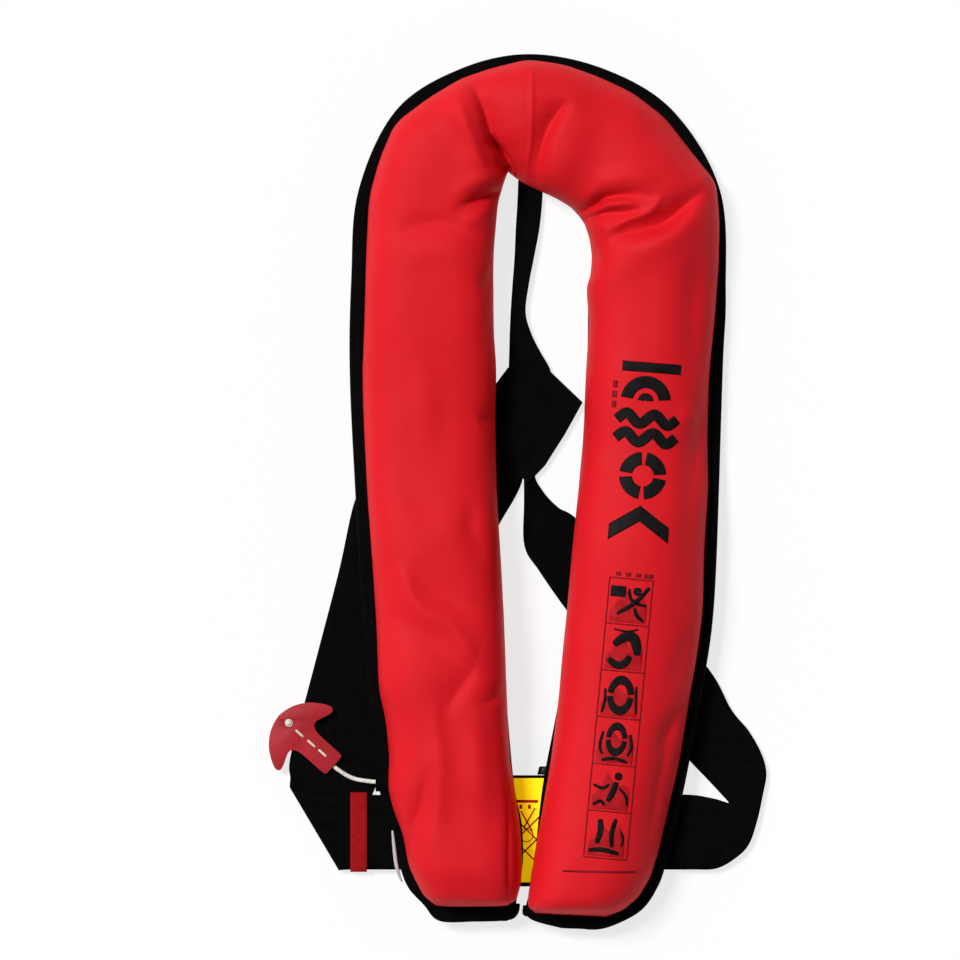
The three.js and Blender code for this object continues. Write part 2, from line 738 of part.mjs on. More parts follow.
add('label_backing', labelBacking(), BLACK_CLOTH);
add('yellow_label', yellowLabel(), YELLOW);
add('stud_tab', studTab(), BLACK_CLOTH);
add('press_stud', pressStud(), BLACK_PLASTIC);
add('edge_strip', edgeStrip(), { color: 0xb9bdbf, roughness: 0.6, metalness: 0 });
add('pull_toggle', pullToggle(), { color: 0xa8232c, roughness: 0.45, metalness: 0 });
add('pull_cord', pullCord(), { color: 0xf0eee6, roughness: 0.8, metalness: 0 });

// The origin is the middle of the box that the jacket fills, at its underside.
const extent = new THREE.Box3().setFromObject(group);
const centre = extent.getCenter(new THREE.Vector3());
group.position.set(-centre.x, -centre.y, -extent.min.z);

export default group;
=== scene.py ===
"""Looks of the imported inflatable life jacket, built around its CAD frame.

Sizes are in millimetres in the jacket's own drafting frame: +X to the right seen from the
front, +Y towards the collar, +Z up out of the front. metres() turns them into the frame's.
"""
import json
import math
from contextlib import contextmanager

import bmesh
import bpy
import numpy as np
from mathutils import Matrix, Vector, noise
from mathutils.bvhtree import BVHTree


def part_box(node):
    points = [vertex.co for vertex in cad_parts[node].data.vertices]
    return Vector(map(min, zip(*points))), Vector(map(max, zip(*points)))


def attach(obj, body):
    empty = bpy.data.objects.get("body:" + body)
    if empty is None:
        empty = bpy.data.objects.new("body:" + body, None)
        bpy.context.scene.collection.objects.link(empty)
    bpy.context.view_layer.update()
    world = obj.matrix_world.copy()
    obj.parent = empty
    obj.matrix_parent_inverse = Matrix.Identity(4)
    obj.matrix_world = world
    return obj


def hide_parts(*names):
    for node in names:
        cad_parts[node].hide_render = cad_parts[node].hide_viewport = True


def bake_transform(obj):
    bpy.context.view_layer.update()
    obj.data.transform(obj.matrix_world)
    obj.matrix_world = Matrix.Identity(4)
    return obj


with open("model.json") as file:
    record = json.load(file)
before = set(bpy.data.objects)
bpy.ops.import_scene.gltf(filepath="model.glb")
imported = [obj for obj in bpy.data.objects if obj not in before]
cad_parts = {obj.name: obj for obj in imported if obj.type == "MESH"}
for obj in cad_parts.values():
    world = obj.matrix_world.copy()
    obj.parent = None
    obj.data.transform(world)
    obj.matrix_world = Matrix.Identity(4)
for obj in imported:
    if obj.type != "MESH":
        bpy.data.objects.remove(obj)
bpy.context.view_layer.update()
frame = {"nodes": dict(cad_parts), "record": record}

# The drafting frame's origin, found from the buckle socket, whose middle is at x = -10.5.
SOCKET_MIDDLE_X = -10.5
socket_low, socket_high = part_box("buckle_socket")
ORIGIN_X = 1000 * (socket_low[0] + socket_high[0]) / 2 - SOCKET_MIDDLE_X


def metres(point):
    """A drafting point in the frame, in metres."""
    x, y, z = point
    return ((x + ORIGIN_X) / 1000, y / 1000, z / 1000)


def add_object(name, data):
    thing = bpy.data.objects.new(name, data)
    bpy.context.collection.objects.link(thing)
    return thing


# ---------------------------------------------------------------------------------------
# Camera, floor and light

VIEW_CENTRE = (-26.6, 8.0)
VIEW_WIDTH = 672
LENS = 300
SENSOR = 36
OUTLINE_Z = 22


def make_camera():
    data = bpy.data.cameras.new("camera")
    data.lens = LENS
    data.sensor_width = SENSOR
    camera = add_object("camera", data)
    height = OUTLINE_Z + VIEW_WIDTH * LENS / SENSOR
    camera.location = metres((*VIEW_CENTRE, height))
    bpy.context.scene.camera = camera


def sun(name, direction, strength, spread_degrees):
    data = bpy.data.lights.new(name, "SUN")
    data.energy = strength
    data.angle = math.radians(spread_degrees)
    lamp = add_object(name, data)
    lamp.rotation_euler = (-Vector(direction)).to_track_quat("-Z", "Y").to_euler()


FLOOR_HALF_M = 6.0
FLOOR_GLOW = 0.76
FLOOR_Z_M = -0.0006
AMBIENT = 0.2
KEY_DIRECTION = (-0.56, 0.42, 1.0)
KEY_STRENGTH = 3.02
KEY_SPREAD_DEGREES = 18


def clear_from_below(material, shader):
    """The underside of a surface lets the view through."""
    tree = material.node_tree
    side = tree.nodes.new("ShaderNodeNewGeometry")
    clear = tree.nodes.new("ShaderNodeBsdfTransparent")
    mix = tree.nodes.new("ShaderNodeMixShader")
    tree.links.new(side.outputs["Backfacing"], mix.inputs["Fac"])
    tree.links.new(shader.outputs["BSDF"], mix.inputs[1])
    tree.links.new(clear.outputs["BSDF"], mix.inputs[2])
    tree.links.new(mix.outputs["Shader"], tree.nodes["Material Output"].inputs["Surface"])


def make_stage():
    mesh = bpy.data.meshes.new("floor")
    turns = ((-1, -1), (1, -1), (1, 1), (-1, 1))
    corners = [(FLOOR_HALF_M * x, FLOOR_HALF_M * y, FLOOR_Z_M) for x, y in turns]
    mesh.from_pydata(corners, [], [(0, 1, 2, 3)])
    floor = add_object("floor", mesh)
    left_over = 1 - FLOOR_GLOW
    material, shader = principled("floor_paper", (left_over,) * 3, 1.0)
    shader.inputs["Specular IOR Level"].default_value = 0.0
    shader.inputs["Emission Color"].default_value = (1, 1, 1, 1)
    shader.inputs["Emission Strength"].default_value = FLOOR_GLOW
    clear_from_below(material, shader)
    mesh.materials.append(material)

    world = bpy.data.worlds.new("studio")
    world.use_nodes = True
    world.node_tree.nodes["Background"].inputs["Color"].default_value = (1, 1, 1, 1)
    world.node_tree.nodes["Background"].inputs["Strength"].default_value = AMBIENT
    bpy.context.scene.world = world
    sun("key", KEY_DIRECTION, KEY_STRENGTH, KEY_SPREAD_DEGREES)
    bpy.context.scene.view_settings.view_transform = "Standard"


# ---------------------------------------------------------------------------------------
# Materials

def principled(name, colour, roughness):
    material = bpy.data.materials.new(name)
    material.use_nodes = True
    shader = material.node_tree.nodes["Principled BSDF"]
    shader.inputs["Base Color"].default_value = (*colour, 1)
    shader.inputs["Roughness"].default_value = roughness
    return material, shader


# A wave texture of this scale, over metres, repeats each millimetre.
WAVE_SCALE = 314.16


class Nodes:
    """Short calls for the node work that the materials share."""

    def __init__(self, material, coordinates="Object"):
        self.tree = material.node_tree
        self.where = self.tree.nodes.new("ShaderNodeTexCoord").outputs[coordinates]

    def link(self, source, target):
        self.tree.links.new(source, target)

    def noise(self, scale, detail=3.0):
        node = self.tree.nodes.new("ShaderNodeTexNoise")
        node.inputs["Scale"].default_value = scale
        node.inputs["Detail"].default_value = detail
        self.link(self.where, node.inputs["Vector"])
        return node.outputs["Fac"]

    def bands(self, direction, period_mm, distortion=0.0):
        node = self.tree.nodes.new("ShaderNodeTexWave")
        node.bands_direction = direction
        node.inputs["Scale"].default_value = WAVE_SCALE / period_mm
        node.inputs["Distortion"].default_value = distortion
        self.link(self.where, node.inputs["Vector"])
        return node.outputs["Fac"]

    def math(self, operation, a, b):
        node = self.tree.nodes.new("ShaderNodeMath")
        node.operation = operation
        for socket, value in zip(node.inputs, (a, b)):
            if isinstance(value, (int, float)):
                socket.default_value = value
            else:
                self.link(value, socket)
        return node.outputs[0]

    def ramp(self, factor, low, high, start=0.3, end=0.7):
        node = self.tree.nodes.new("ShaderNodeValToRGB")
        node.color_ramp.elements[0].color = (*low, 1)
        node.color_ramp.elements[1].color = (*high, 1)
        node.color_ramp.elements[0].position = start
        node.color_ramp.elements[1].position = end
        self.link(factor, node.inputs["Fac"])
        return node.outputs["Color"]

    def spread(self, factor, low, high):
        node = self.tree.nodes.new("ShaderNodeMapRange")
        node.inputs["To Min"].default_value = low
        node.inputs["To Max"].default_value = high
        self.link(factor, node.inputs["Value"])
        return node.outputs["Result"]

    def bump(self, shader, height, depth_mm, strength=1.0):
        node = self.tree.nodes.new("ShaderNodeBump")
        node.inputs["Strength"].default_value = strength
        node.inputs["Distance"].default_value = depth_mm / 1000
        self.link(height, node.inputs["Height"])
        self.link(node.outputs["Normal"], shader.inputs["Normal"])


def coated_cloth(name, dark, light, roughness):
    """Tightly woven cloth with a satin coating."""
    material, shader = principled(name, light, roughness)
    shader.inputs["Specular IOR Level"].default_value = 0.12
    nodes = Nodes(material)
    nodes.link(nodes.ramp(nodes.noise(14, 4), dark, light), shader.inputs["Base Color"])
    rough = nodes.spread(nodes.noise(60, 3), roughness - 0.06, roughness + 0.08)
    nodes.link(rough, shader.inputs["Roughness"])
    weave = nodes.math("ADD", nodes.bands("X", 0.9, 0.4), nodes.bands("Y", 0.9, 0.4))
    grain = nodes.math("ADD", weave, nodes.math("MULTIPLY", nodes.noise(420, 2), 1.4))
    nodes.bump(shader, grain, 0.05, 0.5)
    return material


def plain_cloth(name, dark, light, period_mm=1.1):
    """Uncoated black cloth and tape."""
    material, shader = principled(name, light, 0.85)
    shader.inputs["Specular IOR Level"].default_value = 0.05
    nodes = Nodes(material)
    nodes.link(nodes.ramp(nodes.noise(90, 4), dark, light), shader.inputs["Base Color"])
    weave = nodes.math("MULTIPLY", nodes.bands("X", period_mm, 0.3), nodes.bands("Y", period_mm, 0.3))
    nodes.bump(shader, weave, 0.18, 0.8)
    return material


def ribbed_web(name, dark, light, rib_mm=1.3, pick_mm=1.7):
    """Webbing: ribs along its length, crossed by the weft. Uses the ribbon's own UV, in metres."""
    material, shader = principled(name, light, 0.8)
    shader.inputs["Specular IOR Level"].default_value = 0.05
    nodes = Nodes(material, "UV")
    nodes.link(nodes.ramp(nodes.noise(140, 4), dark, light), shader.inputs["Base Color"])
    ribs = nodes.bands("X", rib_mm)
    picks = nodes.bands("DIAGONAL", pick_mm)
    height = nodes.math("ADD", ribs, nodes.math("MULTIPLY", picks, 0.6))
    nodes.bump(shader, height, 0.25, 0.9)
    return material


def moulded(name, dark, light, roughness=0.42, grain_mm=0.03):
    """Moulded plastic with a fine spark-eroded grain and rubbed patches."""
    material, shader = principled(name, light, roughness)
    shader.inputs["Specular IOR Level"].default_value = 0.25
    nodes = Nodes(material)
    nodes.link(nodes.ramp(nodes.noise(45, 5), dark, light), shader.inputs["Base Color"])
    rough = nodes.spread(nodes.noise(120, 4), roughness - 0.1, roughness + 0.12)
    nodes.link(rough, shader.inputs["Roughness"])
    nodes.bump(shader, nodes.noise(1600, 2), grain_mm, 0.5)
    return material


def plated_steel(name):
    material, shader = principled(name, (0.62, 0.63, 0.64), 0.28)
    shader.inputs["Metallic"].default_value = 1.0
    nodes = Nodes(material)
    colour = nodes.ramp(nodes.noise(60, 4), (0.5, 0.51, 0.52), (0.68, 0.69, 0.7))
    nodes.link(colour, shader.inputs["Base Color"])
    nodes.link(nodes.spread(nodes.noise(300, 3), 0.2, 0.4), shader.inputs["Roughness"])
    nodes.bump(shader, nodes.bands("Y", 0.5, 2.0), 0.01, 0.4)
    return material


def print_ink(name, colour):
    """Screen-printed ink that follows the cloth's grain and is slightly worn."""
    material, shader = principled(name, colour, 0.6)
    shader.inputs["Specular IOR Level"].default_value = 0.1
    nodes = Nodes(material)
    light = tuple(min(1, c * 1.5 + 0.004) for c in colour)
    nodes.link(nodes.ramp(nodes.noise(150, 5), colour, light), shader.inputs["Base Color"])
    weave = nodes.math("ADD", nodes.bands("X", 0.9, 0.4), nodes.bands("Y", 0.9, 0.4))
    nodes.bump(shader, weave, 0.04, 0.4)
    return material


def braid(name, dark, light):
    """Braided cord: two sets of slanted strands."""
    material, shader = principled(name, light, 0.75)
    shader.inputs["Specular IOR Level"].default_value = 0.15
    nodes = Nodes(material)
    nodes.link(nodes.ramp(nodes.noise(500, 3), dark, light), shader.inputs["Base Color"])
    strands = nodes.math("MULTIPLY", nodes.bands("DIAGONAL", 1.4, 1.0), nodes.bands("X", 1.1, 1.0))
    nodes.bump(shader, strands, 0.2, 0.8)
    return material


# Strength of the glow painted into the yellow label and bladder cloth: painted light, not a lamp.
PAINTED_GLOW = 0.42


def add_painted_glow(material):
    """Painted light: emission on the yellow cloth makes it brighter than the light that falls on it, which
    lifts it out of the shade between the lobes.
    """
    shader = material.node_tree.nodes["Principled BSDF"]
    shader.inputs["Emission Color"].default_value = (1.0, 0.72, 0.004, 1)
    shader.inputs["Emission Strength"].default_value = PAINTED_GLOW


RED = coated_cloth("red_cover_cloth", (0.67, 0.008, 0.015), (0.73, 0.010, 0.018), 0.62)
BLACK = plain_cloth("black_cloth", (0.0009, 0.0009, 0.001), (0.0022, 0.0022, 0.0024))
WEB = ribbed_web("black_webbing", (0.0008, 0.0008, 0.0009), (0.0022, 0.0022, 0.0024))
KEEPER = ribbed_web("keeper_elastic", (0.32, 0.007, 0.01), (0.42, 0.010, 0.014), 1.0, 2.2)
BLACK_PLASTIC = moulded("black_plastic", (0.006, 0.006, 0.006), (0.014, 0.014, 0.015))
TOGGLE_RED = moulded("toggle_red", (0.34, 0.012, 0.02), (0.46, 0.02, 0.03), 0.4)
YELLOW_PLASTIC = moulded("yellow_plastic", (0.8, 0.52, 0.01), (0.9, 0.64, 0.02))
BLADDER_CLOTH = coated_cloth("bladder_cloth", (0.78, 0.5, 0.01), (0.88, 0.6, 0.015), 0.5)
LABEL = coated_cloth("label_cloth", (0.95, 0.72, 0.004), (1.0, 0.8, 0.006), 0.5)
CORD = braid("white_cord", (0.7, 0.68, 0.62), (0.9, 0.88, 0.82))
THREAD = braid("cream_thread", (0.72, 0.66, 0.5), (0.88, 0.84, 0.7))
BLACK_THREAD = braid("black_thread", (0.001, 0.001, 0.001), (0.003, 0.003, 0.003))
LABEL_INK = print_ink("label_ink", (0.5, 0.012, 0.006))
PIPING = coated_cloth("grey_piping", (0.42, 0.43, 0.44), (0.62, 0.63, 0.64), 0.4)
STEEL = plated_steel("plated_steel")
BLACK_INK = print_ink("black_ink", (0.003, 0.002, 0.002))
DARK_RED_INK = print_ink("dark_red_ink", (0.17, 0.004, 0.007))
SHADE_INK = print_ink("shade_ink", (0.36, 0.005, 0.009))
# The label and the bladder get the painted glow, which lightens their shade.
add_painted_glow(LABEL)
add_painted_glow(BLADDER_CLOTH)


# ---------------------------------------------------------------------------------------
# Meshes

def make_piece(name, points, faces, material, body="jacket", uvs=None):
    """A piece from drafting points, smooth shaded. It rides on a body, unless body is None."""
    mesh = bpy.data.meshes.new(name)
    mesh.from_pydata([metres(p) for p in points], [], faces)
    mesh.materials.append(material)
    if uvs is not None:
        layer = mesh.uv_layers.new(name="UVMap")
        for loop in mesh.loops:
            layer.data[loop.index].uv = uvs[loop.vertex_index]
    mesh.shade_smooth()
    piece = add_object(name, mesh)
    if body:
        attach(piece, body)
    return piece


WELD_M = 1e-6
ABOVE_ALL_M = 0.2


def drop(tree, x, y):
    """Where a ray straight down from above the jacket first hits, in the frame's metres."""
    return tree.ray_cast(Vector((x, y, ABOVE_ALL_M)), Vector((0, 0, -1)))[0]


@contextmanager
def editing(mesh):
    """The mesh opened for mesh operators, and written back at the end."""
    work = bmesh.new()
    work.from_mesh(mesh)
    yield work
    work.to_mesh(mesh)
    work.free()


def recalculate(piece):
    """Turns every face outwards."""
    with editing(piece.data) as work:
        bmesh.ops.recalc_face_normals(work, faces=work.faces)


def orient_up(piece):
    """Turns all the faces if most of them look down."""
    up = sum(p.normal.z * p.area for p in piece.data.polygons)
    if up < 0:
        piece.data.flip_normals()


def node_copy(name, node, material):
    """A piece that starts as a CAD node's own mesh."""
    mesh = frame["nodes"][node].data.copy()
    mesh.materials.clear()
    mesh.materials.append(material)
    return add_object(name, mesh)


def add_modifier(piece, kind, **settings):
    modifier = piece.modifiers.new(kind.lower(), kind)
    for key, value in settings.items():
        setattr(modifier, key, value)
    return modifier


def apply_modifiers(piece):
    depsgraph = bpy.context.evaluated_depsgraph_get()
    mesh = bpy.data.meshes.new_from_object(piece.evaluated_get(depsgraph))
    piece.modifiers.clear()
    piece.data = mesh


def thicken(piece, thickness_mm, offset=0.0):
    add_modifier(piece, "SOLIDIFY", thickness=thickness_mm / 1000, offset=offset, use_even_offset=True)
    apply_modifiers(piece)


def soften(piece, width_mm, segments=3, angle=35):
    add_modifier(
        piece, "BEVEL", width=width_mm / 1000, segments=segments, limit_method="ANGLE",
        angle_limit=math.radians(angle),
    )
    apply_modifiers(piece)
    piece.data.shade_smooth()


def grid_faces(rows, columns, closed_columns=False):
    faces = []
    for i in range(rows - 1):
        for j in range(columns if closed_columns else columns - 1):
            k = (j + 1) % columns
            faces.append((i * columns + j, i * columns + k, (i + 1) * columns + k, (i + 1) * columns + j))
    return faces


def tube_faces(rings, sides):
    """The wall of a tube and a cap at each of its ends."""
    faces = grid_faces(rings, sides, True)
    faces.append(tuple(reversed(range(sides))))
    faces.append(tuple(range((rings - 1) * sides, rings * sides)))
    return faces


def spline(points, parameter):
    """Uniform Catmull-Rom through the points; parameter runs from 0 to 1."""
    points = np.asarray(points, float)
    last = len(points) - 1
    place = np.clip(np.asarray(parameter, float), 0, 1) * last
    i = np.minimum(place.astype(int), last - 1)
    w = (place - i)[..., None]
    a = points[np.maximum(i - 1, 0)]
    b, c = points[i], points[i + 1]
    d = points[np.minimum(i + 2, last)]
    return 0.5 * (2 * b + (c - a) * w + (2 * a - 5 * b + 4 * c - d) * w**2 + (3 * b - a - 3 * c + d) * w**3)


def rounded_chords(points, parameter, rounding):
    """Straight lines between the points with their corners rounded off."""
    points = np.asarray(points, float)
    last = len(points) - 1
    total = np.zeros((len(parameter), points.shape[1]))
    offsets = np.linspace(-rounding, rounding, 9)
    for offset in offsets:
        place = np.clip(parameter * last + offset, 0, last)
        i = np.minimum(place.astype(int), last - 1)
        w = (place - i)[:, None]
        total += points[i] * (1 - w) + points[i + 1] * w
    return total / len(offsets)


def smoothstep(value, low, high):
    w = np.clip((value - low) / (high - low), 0, 1)
    return w * w * (3 - 2 * w)


def round_tube(route, radius, sides=12, body="jacket", name="tube", material=None):
    """A closed round tube along a list of drafting points."""
    route = np.asarray(route, float)
    tangents = np.gradient(route, axis=0)
    tangents /= np.linalg.norm(tangents, axis=1)[:, None]
    up = np.array([0.0, 0.0, 1.0])
    points = []
    for place, tangent in zip(route, tangents):
        side = np.cross(tangent, up)
        if np.linalg.norm(side) < 1e-6:
            side = np.array([1.0, 0, 0])
        side /= np.linalg.norm(side)
        over = np.cross(side, tangent)
        for j in range(sides):
            angle = 2 * math.pi * j / sides
            points.append(place + radius * (math.cos(angle) * side + math.sin(angle) * over))
    faces = [tuple(reversed(face)) for face in tube_faces(len(route), sides)]
    return make_piece(name, points, faces, material, body)


# ---------------------------------------------------------------------------------------
# The horseshoe's plan

# Outer edge x, y and inner edge x, y of the black panel, from the left lobe's foot round the
# collar to the right lobe's foot.
PANEL = [
    (-55, -301, -7, -301), (-66, -289.8, -2, -293), (-77.3, -277, 1, -278), (-83.5, -260, 4, -258),
    (-89.5, -235, 3, -232), (-98, -205, -2, -207), (-102, -165, -6, -165), (-107, -120, -9, -120),
    (-113, -20, -15, -20), (-118, 80, -16, 80), (-117, 150, -17, 150), (-112, 211, -16, 190),
    (-86, 267, -11, 212), (-42, 296, -5, 224.5), (8, 307, 10, 219), (62, 296, 30, 205),
    (109, 267, 46, 188), (142, 211, 52, 166), (146, 140, 49, 140), (144, 90, 48, 90),
    (141, 0, 43, 0), (137, -85, 34, -85), (129, -140, 29, -140), (117, -205, 17, -205),
    (104, -260, 11, -258), (97, -279, 8, -279), (87, -293, 5, -292), (72, -302, 9, -300),
    (56, -307, 30, -306),
]

# The same for the red cover, which is sewn on inside the black edge. Its outer edge is
# straighter between the places where the cover creases.
COVER = [
    (-57, -290.5, -8, -290.5), (-66, -283, -1, -286), (-72, -272, 2, -275), (-76.5, -262, 3, -262),
    (-80.5, -240, 2, -240), (-87.5, -222, 0, -222), (-91.3, -206, -2.5, -207), (-90, -188, -5.8, -188),
    (-92.5, -160, -7, -160), (-97.5, -138, -8, -138), (-99, -95, -9.5, -95), (-101.5, -55, -11.5, -55),
    (-105.7, 0, -15, 0), (-108.5, 55, -16, 55), (-109, 85, -15, 85), (-107.8, 113, -17, 113),
    (-106.5, 165, -17.3, 165), (-104.5, 206, -14, 203), (-97, 233, -10, 216), (-86.3, 258, -7.5, 223),
    (-64, 275, -7, 225), (-40, 289.5, -5.5, 223), (-18, 297, -1, 219.5), (7, 303, 6, 215),
    (32, 299.5, 16, 210.5), (55, 291.5, 28, 205), (80, 280, 40, 197.5), (103, 262.5, 46, 190),
    (122, 238, 50, 178), (139, 217, 52, 165), (141.5, 192, 51, 152), (141, 160, 48, 143),
    (138, 120, 50, 118), (134, 80, 47.5, 80), (133, 40, 46, 40), (133.5, 2, 42.5, 2),
    (130.5, -40, 38, -40), (129.5, -83, 34.3, -83), (125.5, -115, 31, -115), (120, -145, 28.5, -145),
    (113, -190, 22.8, -190), (105, -223, 17, -223), (99, -250, 12.2, -250), (93, -270, 9, -270),
    (84.5, -284, 7, -284), (74, -293, 7, -291), (60, -298.5, 13, -296),
]

BASE_COLLAR = 6.0
BASE_WAIST = 15.5
PANEL_THICK = 2.0
COVER_HEIGHT = 41.0


def panel_base(y):
    """Underside of the back panel: low at the collar, raised at the waist by the buckle."""
    return BASE_WAIST - (BASE_WAIST - BASE_COLLAR) * smoothstep(y, -40, 40)


# ---------------------------------------------------------------------------------------
# The red cover

# Folds in plan: points x, y, depth, then how far each fold reaches to its left and right,
# going along it, and how rounded it is: 2 is a soft hollow, near 1 a crisp crease. A negative
# depth is a ridge.
CRISP = 1.15
SOFT = 2.0
FOLDS = [
    # the left lobe laps over the collar: a short steep flank, then a long rise
    ([(-35, 290, 2), (-28.5, 277, 7), (-23.7, 266, 10.5), (-19.5, 251, 13), (-17, 243, 14.5),
      (-11, 234.5, 14.5), (-5, 225, 11)], 14, 4.6, 1.5),
    ([(-19, 249, 0), (-16.5, 242, 8), (-12.5, 236, 11), (-8.5, 229, 9), (-5.5, 223.5, 4)], 2.6, 2.8, SOFT),
    ([(-47, 284, 0), (-40, 266, -3.5), (-33, 246, -4.5), (-27, 232, -4), (-22, 220, -1)], 5, 9, SOFT),
    # pinch in the left lobe under the crease
    ([(-12, 209, 11), (-20, 207, 10), (-29, 203.5, 7), (-38, 199, 3), (-46, 195, 0)], 5.5, 3.2, 1.4),
    ([(-13, 219, -2), (-26, 217, -3), (-38, 211, -2), (-46, 202, 0)], 6, 6, SOFT),
    ([(-14, 198, 0), (-26, 193, -2.0), (-40, 186, 0)], 7, 5, SOFT),
    # shallow trough across the left lobe
    ([(-84, 176, 0), (-72, 185, 3), (-52, 187, 3.6), (-34, 181, 2)], 8, 10, 1.6),
    ([(-90, 152, 0), (-70, 168, -1.6), (-45, 168, -2.0), (-30, 152, 0)], 12, 12, SOFT),
    # dimples by the inner edge
    ([(-15, 166, 4), (-18, 164, 3), (-22, 161, 0)], 3, 3, CRISP),
    ([(-14, 153, 7), (-20, 147, 6), (-27, 140, 0)], 5, 5, 1.5),
    ([(-15, 52, 5), (-21, 50, 4), (-27, 47, 0)], 4, 6, 1.5),
    # long lazy folds down the left lobe
    ([(-66, 96, 0), (-64, 60, -1.8), (-62, 24, 0)], 8, 8, SOFT),
    ([(-92, 40, 0), (-78, 14, 1.6), (-66, -12, 1.8), (-54, -32, 0)], 13, 13, SOFT),
    ([(-28, -4, 0), (-33, -21, 2.6), (-28, -38, 2), (-22, -48, 0)], 7, 7, SOFT),
    ([(-84, -48, 0), (-78, -62, -2.6), (-68, -81, -3.2), (-44, -95, -3.2), (-30, -116, -1.4), (-26, -128, 0)],
     5.5, 8, 1.5),
    ([(-74, -46, 0), (-64, -62, 2.0), (-46, -76, 2.0), (-26, -88, 0)], 8, 6, SOFT),
    ([(-90, -80, 0), (-72, -96, 1.8), (-50, -112, 2), (-38, -128, 1)], 8, 8, SOFT),
    # the pinch where the left lobe narrows
    ([(-9, -140, 4), (-16, -144, 3.4), (-24, -147, 1.2), (-30, -149, 0)], 4, 6, 1.5),
    ([(-29, -118, 1.4), (-34, -128, 3), (-42, -140, 3.8), (-48, -150, 3.4), (-51, -164, 2), (-52, -186, 0)],
     5, 11, 1.3),
    ([(-56, -142, 0), (-56, -162, -2.4), (-54, -190, -2.8), (-56, -222, -1.6), (-58, -252, 0)], 6, 8, SOFT),
    ([(-30, -160, -1.2), (-28, -185, -2.2), (-27, -215, -1.6), (-28, -245, 0)], 8, 8, SOFT),
    ([(-60, -188, 0), (-65, -206, 3.0), (-70, -224, 4.0), (-77, -241, 3.5), (-82, -252, 2)], 8, 6, 1.3),
    ([(-7, -205, 2), (-6, -235, 2.6), (-6, -262, 2.6), (-6, -284, 2)], 4, 2.0, 1.3),
    # the seam and the hollow beside it at the middle of the collar
    ([(9.5, 297, -0.9), (9.5, 266, -1.1), (9.0, 246, -1.2), (6, 226, -1.0), (5, 217, -0.6)], 1.6, 1.6, SOFT),
    ([(34, 274, 0), (30, 267, 6), (23, 257, 9), (18.5, 247, 9.5), (15.5, 236, 8.5), (13, 224, 6),
      (11, 214, 3)], 4.5, 9.0, 1.4),
    ([(50, 272, 0), (42, 250, -1.4), (35, 232, -1.6), (28, 214, -1)], 11, 11, SOFT),
    # the paired creases in the right of the collar, a pad between them
    ([(45, 195.5, 9), (54, 201, 12), (61, 204.8, 9), (75, 206.5, 6), (90, 205.5, 2.5), (98, 203, 0)],
     3.6, 2.8, 1.5),
    ([(47, 190.5, 7), (61, 194, 7), (77, 195.2, 3.5), (88, 197.5, 0)], 2.8, 4.5, 1.5),
    ([(58, 199, 0), (70, 200.5, -1.8), (84, 201, 0)], 2.6, 2.6, SOFT),
    ([(52, 214, 0), (66, 218, -2.0), (84, 219, -2.0), (98, 214, 0)], 7, 7, SOFT),
    # the broad hollow that sweeps in from the outer edge below them
    ([(131, 212, 1), (124, 206, 6), (113, 196, 11), (102, 187.5, 12), (88, 183, 9), (73, 180, 5),
      (62, 178, 0)], 5, 9, 1.6),
    ([(99, 207, 0), (93, 195.5, -2.6), (77, 189.5, -3.0), (63, 182, -1)], 3.2, 3.2, SOFT),
    ([(122, 190, -1), (108, 178, -2.2), (90, 170, -2), (74, 164, 0)], 9, 9, SOFT),
    ([(92, 246, 0), (108, 234, -1.6), (124, 218, -1.6)], 12, 12, SOFT),
    ([(84, 264, 0), (102, 250, 3.6), (117, 232, 3.6), (128, 218, 0)], 9, 9, SOFT),
    # the right lobe: a rounded inner bulge, a hollow down its outer side
    ([(47, 150, -1.6), (46, 138, -2.2), (49, 124, 0)], 7, 7, SOFT),
    ([(51, 166, 3), (55, 160, 2.5), (60, 152, 0)], 5, 5, 1.5),
    ([(128, 176, 0), (124, 150, 3.0), (121, 120, 3.2), (122, 90, 1)], 8, 8, SOFT),
    ([(124, 70, 0), (120, 20, 2.4), (119, -30, 2.6), (116, -70, 0)], 9, 7, SOFT),
    ([(122, -92, 0), (118, -104, 2), (113, -122, 3), (112, -140, 0)], 7, 6, 1.4),
    ([(108, -150, 0), (103, -180, 4.4), (97, -210, 4.4), (92, -240, 2.5), (88, -262, 0)], 8, 7, 1.4),
    ([(84, 60, 0), (80, 0, -1.4), (76, -60, 0)], 13, 13, SOFT),
    ([(133, 62, 1), (128, 38, 3.6), (124, 12, 2), (123, -8, 0)], 6, 6, 1.5),
    ([(116, -148, 1), (106, -165, 3.6), (99, -178, 1.5)], 5, 5, 1.5),
]

COVER_ROWS = 829
COVER_COLUMNS = 104
COVER_CLOTH = 1.2
CORNER_ROUNDING = 0.26

# How boxy each lobe's section is, at its outer and its inner side: 2 is an ellipse.
LEFT_FULLNESS = (3.0, 3.2)
RIGHT_FULLNESS = (2.15, 3.0)

# The share of the horseshoe's length over which each foot rises to full height.
FOOT_SHARE = 0.075
FOOT_START = 0.12

# A fold presses mostly straight down. This share of it goes along the surface's normal.
SIDEWAYS_SHARE = 0.22

# Slow unevenness of the cloth: size of the waves and how far they reach.
WANDER_BROAD = (70, 1.6)
WANDER_MIDDLE = (26, 0.55)
WANDER_FINE = (9, 0.1)


